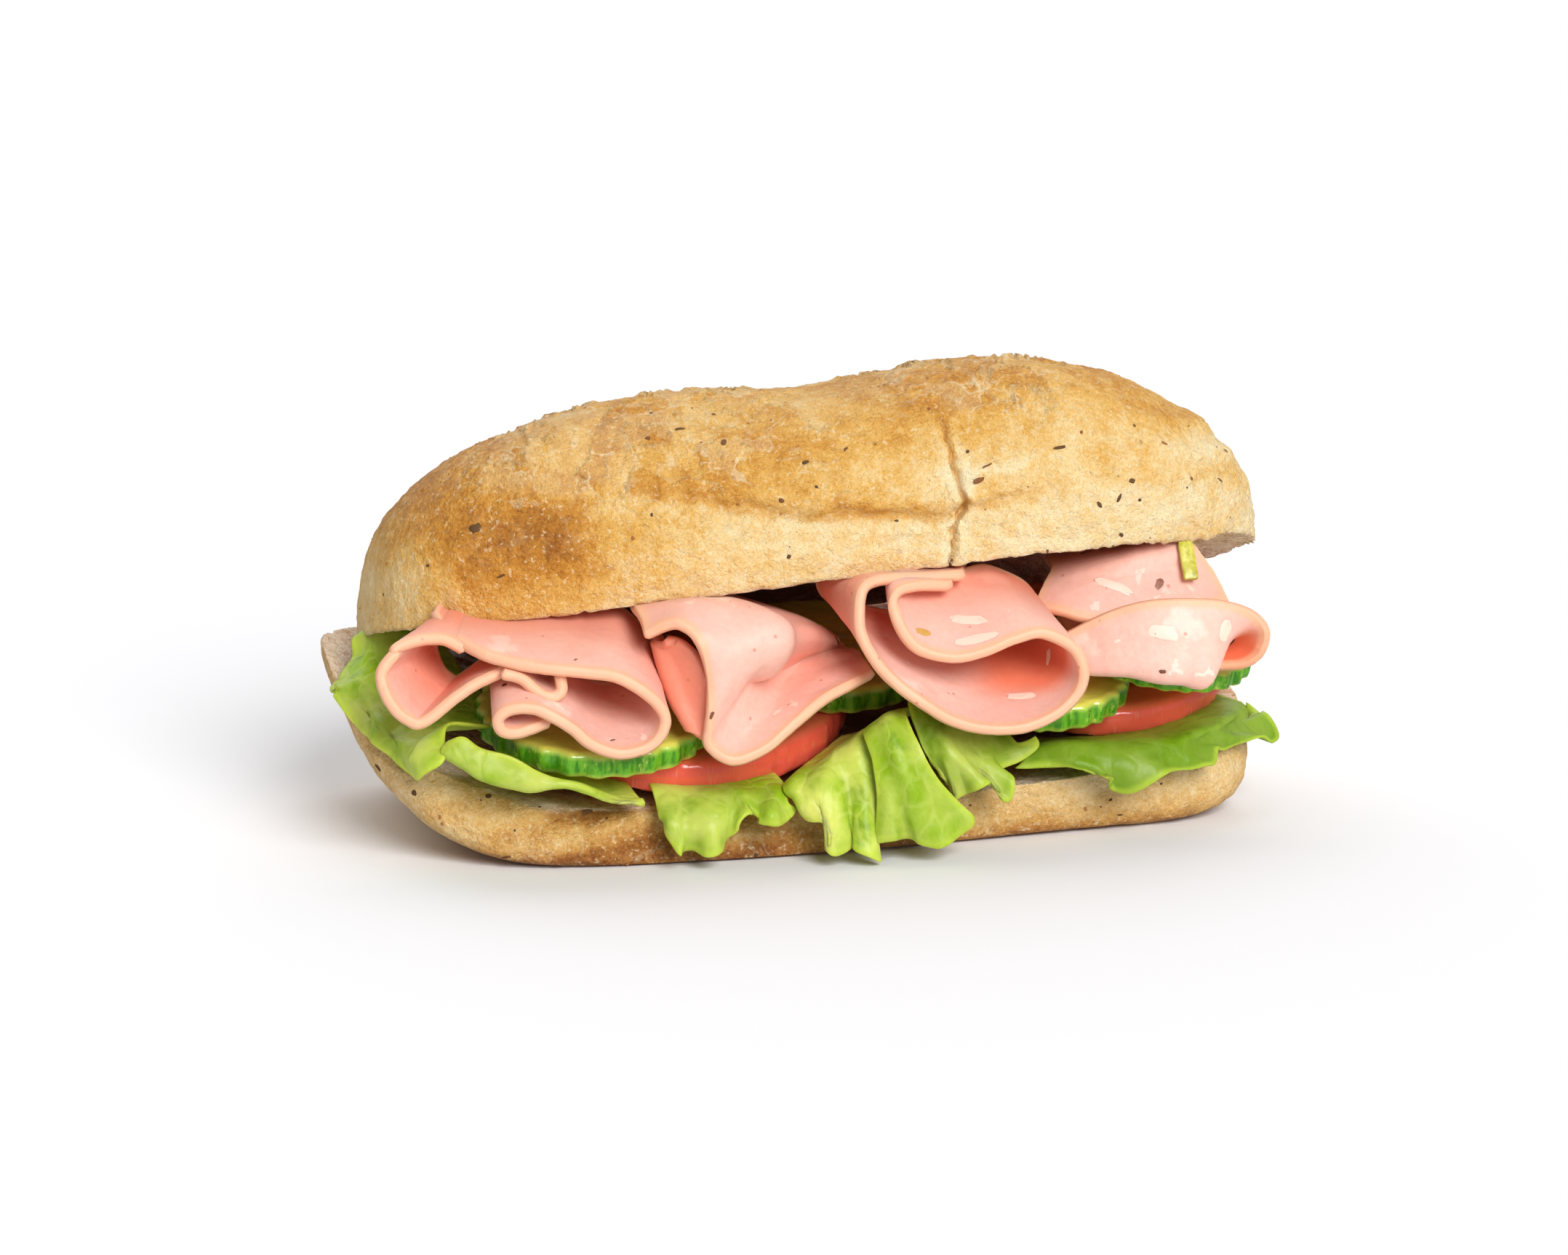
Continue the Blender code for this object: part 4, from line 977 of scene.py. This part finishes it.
def makeSlice(nodeName, grid):
    look = meatLook
    flat = grid.reshape(-1, 3)
    height = look["waveHeight"] * lumps(flat, look["waveSize"], 41) + 0.05 * lumps(flat, 1.4, 42)
    grid = grid + gridNormals(grid) * height.reshape(grid.shape[:2])[..., None]
    grid = pressedUnder(grid, look["clearance"], lidTree)
    obj = sheetPiece(nodeName + "_slice", grid, look["thickness"])
    depth = pointsOf(obj.data)[:, 1]
    # painted shade: more orange towards the back under the lid, inside the curl and the tube, and on the shaded wall
    glow = look["glow"][nodeName] * smoothStep(-55, -36, depth)
    if nodeName == "mortadella_curl":
        x, _, z = pointsOf(obj.data).T
        inside = smoothStep(20, 34, x) * smoothStep(30, 35, z) * smoothStep(48, 43, z)
        inside *= smoothStep(-56.5, -50, depth)
        glow = np.maximum(glow, 0.9 * inside)
        glow = np.maximum(glow, 0.5 * smoothStep(7, 1, x) * smoothStep(-55, -50, depth))
    if nodeName == look["tube"]["node"]:
        tube = smoothStep(*look["tube"]["reach"], pointsOf(obj.data)[:, 0])
        glow = np.maximum(glow, tube * smoothStep(-52, -46, depth))
    if nodeName in look["shaded"]:
        glow = np.maximum(glow, 0.7)
        obj.data.attributes["rimDistance"].data.foreach_set("value", np.full(len(depth), 9, np.float32))
    store(obj.data, "glow", glow)
    return obj


def meatMaterial():
    look = meatLook
    made, tree, shader, place = startMaterial("mortadellaMeat")
    warped = bentPlace(tree, place, 240.0, 4.0, 0.011)
    flesh = mixColour(tree, grain(tree, place, 0.020, 4.0), paint(*look["deep"]), paint(*look["pale"]))
    flesh = mixColour(tree, remap(tree, grain(tree, place, 0.0016, 3.0, 0.7), 0.35, 0.7, 0.0, 0.28), flesh,
                      paint(*look["deep"]))
    # fat spots, in some of the cells only
    spots = cells(tree, warped, look["fatSize"])
    inSpot = remap(tree, spots.outputs["Distance"], 0.42, 0.20)
    chosen = mathNode(tree, "GREATER_THAN", cellNumber(tree, spots, 0), 0.66)
    flesh = mixColour(tree, mathNode(tree, "MULTIPLY", mathNode(tree, "MULTIPLY", inSpot, chosen), 0.5), flesh,
                      paint(*look["fat"]))
    smallSpots = cells(tree, warped, look["fatSize"] * 0.42)
    inSmall = remap(tree, smallSpots.outputs["Distance"], 0.30, 0.20)
    chosenSmall = mathNode(tree, "GREATER_THAN", cellNumber(tree, smallSpots, 1), 0.90)
    flesh = mixColour(tree, mathNode(tree, "MULTIPLY", mathNode(tree, "MULTIPLY", inSmall, chosenSmall), 0.6),
                      flesh, paint(*look["fat"]))
    # painted shade: deep in the folds, inside the curl and the tube and under the lid the meat is painted orange,
    # standing in for shade with light coming through
    flesh = mixColour(tree, attribute(tree, "glow"), flesh, paint(*look["shadeOrange"]))
    # the cut edge and the band beside it are more golden
    band = remap(tree, attribute(tree, "rimDistance"), look["rimBand"] + 1.5, 0.8, 0.0, 0.8)
    flesh = mixColour(tree, band, flesh, paint(*look["rim"]))
    pinholes = cells(tree, place, 0.0042)
    chosenPinhole = mathNode(tree, "GREATER_THAN", cellNumber(tree, pinholes, 0), 0.55)
    inPinhole = mathNode(tree, "MULTIPLY", remap(tree, pinholes.outputs["Distance"], 0.12, 0.07), chosenPinhole)
    flesh = mixColour(tree, mathNode(tree, "MULTIPLY", inPinhole, 0.6), flesh, paint(*look["pinhole"]))
    pepper = cells(tree, place, look["pepperSize"])
    inPepper = remap(tree, pepper.outputs["Distance"], 0.055, 0.035)
    chosenPepper = mathNode(tree, "GREATER_THAN", cellNumber(tree, pepper, 2), 0.60)
    flesh = mixColour(tree, mathNode(tree, "MULTIPLY", inPepper, chosenPepper), flesh, paint(*look["pepper"]))
    tree.links.new(flesh, shader.inputs["Base Color"])
    pits = remap(tree, cells(tree, place, 0.0034).outputs["Distance"], 0.0, 0.22)
    surface = bump(tree, pits, 0.12, 0.0004)
    surface = bump(tree, inPinhole, -0.5, 0.0004, surface)
    surface = bump(tree, grain(tree, place, 0.0022, 4.0, 0.6), 0.25, 0.0005, surface)
    tree.links.new(surface, shader.inputs["Normal"])
    setShader(shader, {"Roughness": look["roughness"], "Specular IOR Level": 0.45, "Subsurface Weight": 0.35,
                       "Subsurface Radius": (0.0045, 0.0016, 0.0010), "Subsurface Scale": 1.0})
    return made


def speckMaterial():
    made, tree, shader, place = startMaterial("meatSpeck")
    mottle = mathNode(tree, "MULTIPLY", grain(tree, place, 0.0005), 0.2)
    tone = mathNode(tree, "ADD", attribute(tree, "tone"), mottle)
    colour = ramp(tree, tone, [(position, paint(*rgb)) for position, rgb in meatLook["specks"]])
    tree.links.new(colour, shader.inputs["Base Color"])
    setShader(shader, {"Roughness": 0.4})
    return made


# Flat specks, each bent onto the first slice behind its place
def placeSpecks(name, slices):
    trees = [treeOf(obj) for obj in slices]
    grown = bmesh.new()
    tones = []
    for x, z, length, width, turn, tone in meatSpecks:
        hits = [(*tree.ray_cast(Vector((x, -90, z)) * mm, Vector((0, 1, 0))), tree) for tree in trees]
        hits = sorted((hit for hit in hits if hit[0]), key=lambda hit: hit[3])
        if not hits:
            continue
        spot, normal, _, _, tree = hits[0]
        size = Matrix.Diagonal((length / 2 * mm, width / 2 * mm, 0, 1))
        lay = normal.to_track_quat("Z", "Y").to_matrix().to_4x4() @ Matrix.Rotation(math.radians(turn), 4, "Z")
        made = bmesh.ops.create_icosphere(grown, subdivisions=4, radius=1.0)
        for vertex in made["verts"]:
            bent = vertex.co + 0.4 * noise.noise_vector(vertex.co * 1.6 + Vector((x, z, 0)))
            bent = Vector([math.copysign(abs(side) ** 0.75, side) for side in bent])
            near, outward, _, _ = tree.find_nearest(Matrix.Translation(spot) @ lay @ size @ bent)
            vertex.co = near + outward * vertex.co.z * 0.09 * mm
        tones += [tone] * len(made["verts"])
    mesh = bpy.data.meshes.new(name)
    grown.to_mesh(mesh)
    grown.free()
    store(mesh, "tone", tones)
    finishPiece(newObject(name, mesh), speckMaterial(), "mortadella")


meat = meatMaterial()
size = (meatLook["rows"], meatLook["columns"])
for nodeName, way in pushedSlices.items():
    finishPiece(makeSlice(nodeName, pushedIn(way["rim"], way["inwards"], *size)), meat, "mortadella", nodeName)
for nodeName, lines in foldedSlices.items():
    finishPiece(makeSlice(nodeName, matchedLoft(lines, *size)), meat, "mortadella", nodeName)
flapGrid = pushedIn(tornFlap["rim"], tornFlap["inwards"], 24, 60)
finishPiece(makeSlice("mortadella_left_flap", flapGrid), meat, "mortadella")
placeSpecks("mortadella_specks", [obj for obj in bpy.data.objects if obj.name.endswith("_slice")])


print("stage: cucumber and tomato")

cucumberShape = {"ridges": 26.0, "ridgeDepth": 0.42, "edgeRound": 0.7, "sideBulge": 0.35}
tomatoShape = {"ridges": 5.0, "ridgeDepth": 0.5, "edgeRound": 0.9, "sideBulge": 0.7}
cucumberNodes = ("cucumber_left", "cucumber_middle", "cucumber_right", "cucumber_far_right")
tomatoNodes = ("tomato_left", "tomato_right")


# Place of a round CAD slice: the matrix that lays a level disc on it, its radius and its thickness
def discOf(nodeName):
    p = np.unique(np.round(pointsOf(frame["nodes"][nodeName].data), 3), axis=0)
    centre = (p.min(axis=0) + p.max(axis=0)) / 2
    spread = np.linalg.svd(p - p.mean(axis=0), full_matrices=False)[2]
    normal = Vector(spread[2] * np.sign(spread[2][2]))
    offset = (p - centre) @ np.array(normal)
    radius = np.linalg.norm((p - centre) - np.outer(offset, np.array(normal)), axis=1).max()
    turn = Vector((0, 0, 1)).rotation_difference(normal).to_matrix().to_4x4()
    return Matrix.Translation(Vector(centre) * mm) @ turn, radius, offset.max() - offset.min()


# Geometry Nodes for a ridged round slice with rounded rims. Lengths are in metres
def sliceTree():
    tree = bpy.data.node_groups.new("roundSlice", "GeometryNodeTree")
    sockets = {}
    for name in ("Radius", "Thickness", "Ridges", "Ridge Depth", "Edge Round", "Side Bulge"):
        sockets[name] = tree.interface.new_socket(name, in_out="INPUT", socket_type="NodeSocketFloat")
    sockets["Seed"] = tree.interface.new_socket("Seed", in_out="INPUT", socket_type="NodeSocketInt")
    sockets["Finish"] = tree.interface.new_socket("Finish", in_out="INPUT", socket_type="NodeSocketMaterial")
    tree.interface.new_socket("Slice", in_out="OUTPUT", socket_type="NodeSocketGeometry")
    given = tree.nodes.new("NodeGroupInput").outputs
    disc = addNode(tree, "GeometryNodeMeshCylinder", {"Vertices": 264, "Side Segments": 8, "Fill Segments": 14,
                   "Radius": given["Radius"], "Depth": given["Thickness"]}, fill_type="TRIANGLE_FAN").outputs["Mesh"]
    place = tree.nodes.new("GeometryNodeInputPosition").outputs[0]
    parts = addNode(tree, "ShaderNodeSeparateXYZ", {0: place}).outputs
    angle = mathNode(tree, "ARCTAN2", parts[1], parts[0])
    out = mathNode(tree, "SQRT", mathNode(tree, "ADD", mathNode(tree, "MULTIPLY", parts[0], parts[0]),
                                          mathNode(tree, "MULTIPLY", parts[1], parts[1])))
    reach = mathNode(tree, "DIVIDE", out, given["Radius"])
    level = mathNode(tree, "DIVIDE", mathNode(tree, "MULTIPLY", parts[2], 2.0), given["Thickness"])
    level = mathNode(tree, "MULTIPLY", level, level)
    # ridges on the skin, uneven from one to the next
    rough = addNode(tree, "ShaderNodeTexNoise", {"Vector": place, "Scale": 260.0, "W": given["Seed"]},
                    noise_dimensions="4D").outputs["Fac"]
    wave = mathNode(tree, "SINE", mathNode(tree, "ADD", mathNode(tree, "MULTIPLY", angle, given["Ridges"]),
                                           mathNode(tree, "MULTIPLY", rough, 5.0)))
    ridge = mathNode(tree, "MULTIPLY", wave, given["Ridge Depth"])
    belly = mathNode(tree, "MULTIPLY", mathNode(tree, "SUBTRACT", 1.0, level), given["Side Bulge"])
    # the rims turn in by a quarter round
    corner = mathNode(tree, "MULTIPLY", mathNode(tree, "POWER", level, 6.0), given["Edge Round"])
    push = mathNode(tree, "SUBTRACT", mathNode(tree, "ADD", ridge, belly), corner)
    onRim = remap(tree, reach, 0.90, 1.0)
    scaled = mathNode(tree, "ADD", mathNode(tree, "DIVIDE", mathNode(tree, "MULTIPLY", push, onRim), out), 1.0)
    uneven = mathNode(tree, "MULTIPLY", mathNode(tree, "SUBTRACT", rough, 0.5), 0.0005)
    moved = addNode(tree, "ShaderNodeCombineXYZ", {
        0: mathNode(tree, "MULTIPLY", parts[0], scaled), 1: mathNode(tree, "MULTIPLY", parts[1], scaled),
        2: mathNode(tree, "ADD", parts[2], mathNode(tree, "MULTIPLY", uneven, mathNode(tree, "SIGN", parts[2])))})
    kept = addNode(tree, "GeometryNodeStoreNamedAttribute", {"Geometry": disc, "Name": "flat", "Value": place},
                   data_type="FLOAT_VECTOR", domain="POINT").outputs[0]
    shaped = addNode(tree, "GeometryNodeSetPosition", {"Geometry": kept, "Position": moved.outputs[0]}).outputs[0]
    real = addNode(tree, "GeometryNodeRealizeInstances", {"Geometry": shaped}).outputs[0]
    done = addNode(tree, "GeometryNodeSetMaterial", {"Geometry": real, "Material": given["Finish"]}).outputs[0]
    result = tree.nodes.new("NodeGroupOutput")
    tree.links.new(done, result.inputs[0])
    return tree, sockets


def makeRound(nodeName, shape, seed, material, slotName):
    turn, radius, thickness = discOf(nodeName)
    values = {"Radius": (radius - shape["ridgeDepth"] - shape["sideBulge"]) * mm, "Thickness": thickness * mm,
              "Ridges": shape["ridges"], "Ridge Depth": shape["ridgeDepth"] * mm,
              "Edge Round": shape["edgeRound"] * mm, "Side Bulge": shape["sideBulge"] * mm,
              "Seed": seed, "Finish": material}
    mesh = grownMesh(*roundSlice, values)
    mesh.transform(turn)
    obj = newObject(nodeName + "_round", mesh)
    finishPiece(obj, material, slotName, nodeName)
    return obj


# The flesh colours are a warm yellow: partly the flesh's own colour and partly painted bounce light from the bread
cucumberLook = {
    "skin": (104, 172, 34), "skinLight": (206, 222, 96), "skinDark": (56, 130, 16), "flesh": (255, 226, 104),
    "fleshRim": (222, 216, 92), "core": (232, 196, 80), "seed": (240, 226, 160), "roughness": 0.24,
}
tomatoLook = {
    "skin": (253, 98, 76), "skinLight": (255, 186, 164), "flesh": (244, 112, 76), "jelly": (220, 92, 34),
    "wall": (246, 128, 92), "seed": (240, 206, 128), "roughness": 0.20,
}


# The slice's own place, its three parts and its distance from the middle
def roundCoordinates(tree):
    flat = attribute(tree, "flat", "Vector")
    parts = addNode(tree, "ShaderNodeSeparateXYZ", {0: flat}).outputs
    out = mathNode(tree, "SQRT", mathNode(tree, "ADD", mathNode(tree, "MULTIPLY", parts[0], parts[0]),
                                          mathNode(tree, "MULTIPLY", parts[1], parts[1])))
    return flat, parts, out


def cucumberMaterial():
    look = cucumberLook
    made, tree, shader, place = startMaterial("cucumberSlice")
    flat, parts, out = roundCoordinates(tree)
    skinSide = remap(tree, out, 0.0192, 0.0202)
    streak = grain(tree, flat, 0.0012, 3.0, 0.6, stretch=(1.0, 1.0, 0.25))
    skin = mixColour(tree, remap(tree, streak, 0.38, 0.60), paint(*look["skinDark"]), paint(*look["skin"]))
    fleck = grain(tree, flat, 0.0022, 4.0, 0.7, stretch=(1, 1, 0.5))
    skin = mixColour(tree, remap(tree, fleck, 0.56, 0.74, 0.0, 0.8), skin, paint(*look["skinLight"]))
    # the skin thins out towards both cut faces
    rim = remap(tree, mathNode(tree, "ABSOLUTE", parts[2]), 0.0011, 0.0026, 0.0, 0.7)
    skin = mixColour(tree, rim, skin, paint(*look["skinLight"]))
    # painted bounce light: the flesh is tinted warm yellow
    flesh = mixColour(tree, remap(tree, out, 0.012, 0.019), paint(*look["flesh"]), paint(*look["fleshRim"]))
    flesh = mixColour(tree, remap(tree, out, 0.010, 0.004, 0.0, 0.8), flesh, paint(*look["core"]))
    seeds = cells(tree, flat, 0.0032)
    ring = mathNode(tree, "MULTIPLY", remap(tree, out, 0.003, 0.006), remap(tree, out, 0.013, 0.011))
    flesh = mixColour(tree, mathNode(tree, "MULTIPLY", remap(tree, seeds.outputs["Distance"], 0.42, 0.30), ring),
                      flesh, paint(*look["seed"]))
    onEdge = attribute(tree, "side")
    colour = mixColour(tree, onEdge, flesh, skin)
    tree.links.new(colour, shader.inputs["Base Color"])
    surface = bump(tree, grain(tree, flat, 0.0014, 3.0, 0.6, stretch=(1, 1, 0.35)), 0.4, 0.0005)
    tree.links.new(surface, shader.inputs["Normal"])
    setShader(shader, {"Roughness": look["roughness"], "Specular IOR Level": 0.6, "Subsurface Weight": 0.2,
                       "Subsurface Radius": (0.0020, 0.0030, 0.0010), "Subsurface Scale": 1.0,
                       "Coat Weight": 0.3, "Coat Roughness": 0.12})
    return made


def tomatoMaterial():
    look = tomatoLook
    made, tree, shader, place = startMaterial("tomatoSlice")
    flat, parts, out = roundCoordinates(tree)
    rays = grain(tree, flat, 0.0030, 3.0, 0.6)
    flesh = mixColour(tree, rays, paint(*look["flesh"]), paint(*look["wall"]))
    chamber = cells(tree, flat, 0.020, "DISTANCE_TO_EDGE")
    inChamber = mathNode(tree, "MULTIPLY", remap(tree, chamber.outputs["Distance"], 0.08, 0.16),
                         remap(tree, out, 0.030, 0.026))
    flesh = mixColour(tree, inChamber, flesh, paint(*look["jelly"]))
    seeds = cells(tree, flat, 0.0045)
    inSeed = remap(tree, seeds.outputs["Distance"], 0.34, 0.26)
    flesh = mixColour(tree, mathNode(tree, "MULTIPLY", inSeed, inChamber), flesh, paint(*look["seed"]))
    # painted sheen: pale pink fine streaks along the skin
    fibres = grain(tree, flat, 0.0005, 3.0, 0.6, stretch=(1.0, 1.0, 0.12))
    skin = mixColour(tree, remap(tree, fibres, 0.55, 0.75, 0.0, 0.30), paint(*look["skin"]),
                     paint(*look["skinLight"]))
    colour = mixColour(tree, attribute(tree, "side"), flesh, skin)
    tree.links.new(colour, shader.inputs["Base Color"])
    surface = bump(tree, grain(tree, flat, 0.0018, 3.0, 0.6), 0.12, 0.0004)
    tree.links.new(surface, shader.inputs["Normal"])
    setShader(shader, {"Roughness": look["roughness"], "Specular IOR Level": 0.6, "Subsurface Weight": 0.3,
                       "Subsurface Radius": (0.0060, 0.0014, 0.0008), "Subsurface Scale": 1.0,
                       "Coat Weight": 0.35, "Coat Roughness": 0.10})
    return made


# 1 on the skin round the slice and 0 on its cut faces
def markSide(obj, nodeName):
    turn = discOf(nodeName)[0].to_3x3()
    lift = np.abs(normalsOf(obj.data) @ np.array(turn.col[2]))
    store(obj.data, "side", smoothStep(0.80, 0.55, lift))


roundSlice = sliceTree()
cucumber, tomato = cucumberMaterial(), tomatoMaterial()
for number, nodeName in enumerate(cucumberNodes):
    markSide(makeRound(nodeName, cucumberShape, number, cucumber, "cucumber"), nodeName)
for number, nodeName in enumerate(tomatoNodes):
    markSide(makeRound(nodeName, tomatoShape, number + 7, tomato, "tomato"), nodeName)


print("stage: lettuce")

leafLook = {
    "pale": (220, 231, 112), "green": (150, 186, 18), "deep": (86, 128, 0), "vein": (214, 226, 120),
    "edge": (198, 220, 70), "roughness": 0.40, "veinSize": 0.0062,
    "thickness": 0.7, "columns": 120, "rows": 44, "clearance": 0.7,
}
# Each leaf: its root among the slices in millimetres, then lines across it down to its hanging edge, as places in
# the view with their depth
leafShapes = {
    "lettuce_left_end": {
        "root": [(-76, 8, 37), (-74, -12, 33), (-66, -34, 26)], "window": "left",
        "lines": [
            [(380, 70, 0), (290, 140, -6), (230, 250, -12), (260, 400, -24), (330, 500, -34), (450, 520, -40),
             (540, 480, -42)],
            [(335, 75, 3), (232, 120, -2), (178, 220, -10), (150, 330, -16), (195, 430, -24), (275, 520, -34),
             (350, 600, -43), (430, 590, -47), (495, 560, -47)],
            [(300, 80, 6), (205, 130, 0), (150, 215, -6), (85, 310, -12), (65, 345, -14), (115, 425, -20),
             (180, 505, -27), (250, 570, -34), (310, 630, -40), (380, 692, -46), (440, 665, -49), (495, 635, -50),
             (503, 575, -48)]],
    },
    "lettuce_left_front": {
        "root": [(-70, -32, 19), (-48, -32, 18)], "window": "left",
        "lines": [
            [(505, 600, -48), (560, 640, -50), (640, 690, -51.5), (760, 727, -52), (850, 737, -52), (960, 718, -52),
             (1030, 732, -52), (1120, 775, -51.5), (1200, 778, -51), (1245, 776, -50)],
            [(503, 575, -48), (535, 545, -49), (575, 535, -50), (640, 575, -51.5), (750, 608, -52.5),
             (850, 662, -53), (960, 698, -53), (1050, 725, -52.5), (1130, 745, -51.5), (1245, 773, -50.3)]],
    },
    "lettuce_centre_left": {
        "root": [(-42, -34, 17.5), (-16, -34, 17.5)], "window": "low",
        "lines": [
            [(30, 250, -47), (140, 262, -50), (250, 250, -50), (335, 232, -47)],
            [(45, 310, -53), (110, 330, -56), (190, 320, -56), (245, 288, -54), (300, 300, -58), (348, 275, -54)],
            [(52, 325, -53), (78, 372, -55), (95, 402, -57), (125, 393, -55), (165, 403, -57), (200, 370, -55),
             (232, 330, -57), (262, 303, -55), (272, 318, -58), (300, 331, -59), (335, 328, -57), (362, 308, -55),
             (370, 288, -53)]],
    },
    "lettuce_centre": {
        "root": [(3, -28, 20), (13, -28, 22)], "window": "low",
        "lines": [
            [(342, 232, -50), (430, 185, -50), (520, 120, -48), (562, 100, -46)],
            [(362, 272, -54), (420, 268, -58), (480, 268, -56), (530, 225, -55), (567, 200, -53)],
            [(372, 290, -54), (400, 312, -56), (430, 322, -58.5), (438, 350, -59), (435, 385, -60), (455, 402, -60),
             (482, 380, -57), (492, 350, -56.5), (500, 385, -60), (530, 405, -60.5), (566, 415, -60),
             (562, 385, -58.5), (560, 340, -56)]],
    },
    "lettuce_centre_right": {
        "root": [(12, -28, 22), (20, -28, 25)], "window": "low",
        "lines": [
            [(528, 112, -50), (575, 75, -51), (622, 66, -49)],
            [(546, 180, -56), (600, 165, -59), (655, 148, -57)],
            [(558, 270, -58), (630, 260, -60.5), (700, 230, -58)],
            [(553, 372, -58), (590, 367, -60.5), (625, 364, -59), (655, 376, -60.5), (690, 381, -60),
             (725, 373, -60.5), (755, 355, -59.5), (778, 332, -59), (776, 314, -58)]],
    },
    "lettuce_centre_back": {
        "root": [(21, -30, 25), (34, -30, 22)], "window": "low",
        "lines": [
            [(628, 45, -46), (690, 80, -47), (750, 100, -46), (860, 118, -41)],
            [(665, 150, -51), (730, 165, -54.5), (800, 165, -51), (885, 145, -46)],
            [(700, 200, -53), (722, 250, -54), (742, 270, -55.5), (768, 255, -53), (800, 240, -55.5),
             (822, 238, -54), (845, 262, -56), (866, 273, -56), (876, 238, -55), (862, 212, -53), (852, 196, -51),
             (890, 178, -49.5), (930, 152, -47), (925, 130, -45)]],
    },
    "lettuce_right": {
        "root": [(44, -32, 18), (64, -28, 18.5), (86, -10, 23)], "window": "low",
        "lines": [
            [(905, 160, -43), (960, 142, -44), (1100, 142, -46), (1250, 122, -42), (1370, 75, -32),
             (1400, 45, -18)],
            [(895, 178, -46), (965, 172, -48), (1100, 185, -51), (1230, 165, -48), (1350, 115, -38),
             (1430, 85, -24)],
            [(880, 188, -47), (960, 192, -49), (1040, 196, -50), (1078, 203, -51), (1105, 232, -52),
             (1130, 256, -52), (1168, 250, -52), (1220, 216, -51), (1270, 196, -49), (1310, 194, -47),
             (1343, 190, -44), (1352, 165, -42), (1362, 146, -40), (1400, 140, -36), (1440, 132, -32),
             (1490, 132, -28), (1502, 118, -26), (1490, 95, -25), (1462, 74, -24), (1452, 82, -24),
             (1420, 55, -20)]],
    },
}
# Height and number of the frills of each leaf's edge, and how dark the leaf is
leafFrills = {
    "lettuce_left_end": (1.5, 4.0, 0.25), "lettuce_left_front": (0.5, 3.0, 0.3),
    "lettuce_centre_left": (1.0, 4.0, 0.2), "lettuce_centre": (1.1, 3.0, 0.0),
    "lettuce_centre_right": (0.9, 2.0, 0.25), "lettuce_centre_back": (0.8, 3.0, 0.4),
    "lettuce_right": (1.1, 5.0, 0.75),
}


def makeLeaf(nodeName, seed):
    look = leafLook
    frill, count, dark = leafFrills[nodeName]
    shape = leafShapes[nodeName]
    grid = loft([shape["root"], *seenLines(shape, 10)], look["rows"], look["columns"])
    v = np.linspace(0, 1, look["rows"])[:, None]
    u = np.linspace(0, 1, look["columns"])[None, :]
    flat = grid.reshape(-1, 3)
    noisy = [lumps(flat, size, 50 + seed).reshape(grid.shape[:2]) for size in (9.0, 4.0, 1.8)]
    height = frill * v ** 3 * np.sin(2 * math.pi * (count * u + 0.25 * noisy[0]) + seed)
    height = height + (0.25 + 0.75 * v ** 2) * (0.8 * noisy[0] + 0.22 * noisy[1]) + 0.05 * noisy[2]
    grid = grid + gridNormals(grid) * height[..., None]
    grid = clearOf(grid, look["clearance"], baseTree)
    obj = sheetPiece(nodeName + "_leaf", grid, look["thickness"])
    store(obj.data, "tone", np.full(len(obj.data.vertices), dark))
    return obj


def leafMaterial():
    look = leafLook
    made, tree, shader, place = startMaterial("lettuceLeaf")
    warped = bentPlace(tree, place, 160.0, 3.0, 0.006)
    warped = addNode(tree, "ShaderNodeMapping", {"Vector": warped, "Scale": (1.0, 1.0, 0.6)}).outputs[0]
    tint = remap(tree, grain(tree, place, 0.014, 3.0), 0.3, 0.7)
    colour = mixColour(tree, tint, paint(*look["green"]), paint(*look["pale"]))
    patch = remap(tree, grain(tree, place, 0.009, 3.0), 0.5, 0.75, 0.0, 0.6)
    colour = mixColour(tree, patch, colour, paint(*look["deep"]))
    veins = cells(tree, warped, look["veinSize"], "DISTANCE_TO_EDGE").outputs["Distance"]
    fineVeins = cells(tree, warped, look["veinSize"] * 0.4, "DISTANCE_TO_EDGE").outputs["Distance"]
    inVein = remap(tree, veins, 0.09, 0.02, 0.0, 0.32)
    inFine = remap(tree, fineVeins, 0.10, 0.02, 0.0, 0.12)
    colour = mixColour(tree, mathNode(tree, "MAXIMUM", inVein, inFine), colour, paint(*look["vein"]))
    colour = mixColour(tree, attribute(tree, "tone"), colour, paint(*look["deep"]))
    edge = remap(tree, attribute(tree, "rimDistance"), 2.0, 0.3, 0.0, 0.45)
    colour = mixColour(tree, edge, colour, paint(*look["edge"]))
    tree.links.new(colour, shader.inputs["Base Color"])
    surface = bump(tree, remap(tree, veins, 0.0, 0.22), 0.28, 0.0005)
    surface = bump(tree, grain(tree, place, 0.0020, 3.0, 0.6), 0.3, 0.0005, surface)
    tree.links.new(surface, shader.inputs["Normal"])
    setShader(shader, {"Roughness": look["roughness"], "Specular IOR Level": 0.25, "Subsurface Weight": 0.5,
                       "Subsurface Radius": (0.0022, 0.0032, 0.0006), "Subsurface Scale": 1.0})
    return made


leaf = leafMaterial()
for number, nodeName in enumerate(leafShapes):
    finishPiece(makeLeaf(nodeName, number), leaf, "lettuce", nodeName)


print("stage: pickle")


def makePickle():
    obj = nodeCopy("pickle_strip", "pickle_stalk")
    mesh = subdivided(obj, 2)
    p, n = pointsOf(mesh), normalsOf(mesh)
    setPoints(mesh, p + n * (0.15 * lumps(p, 1.2, 70))[:, None])
    return obj


def pickleMaterial():
    made, tree, shader, place = startMaterial("pickleStalk")
    streak = grain(tree, place, 0.0012, 3.0, 0.6, stretch=(1.0, 1.0, 0.3))
    colour = ramp(tree, streak, [(0.3, paint(150, 150, 34)), (0.5, paint(200, 194, 72)),
                                 (0.75, paint(232, 222, 130))])
    tree.links.new(colour, shader.inputs["Base Color"])
    setShader(shader, {"Roughness": 0.3, "Subsurface Weight": 0.2, "Subsurface Radius": (0.002, 0.0015, 0.0005),
                       "Subsurface Scale": 1.0})
    return made


finishPiece(makePickle(), pickleMaterial(), "pickle", "pickle_strip")

print("stage: done")
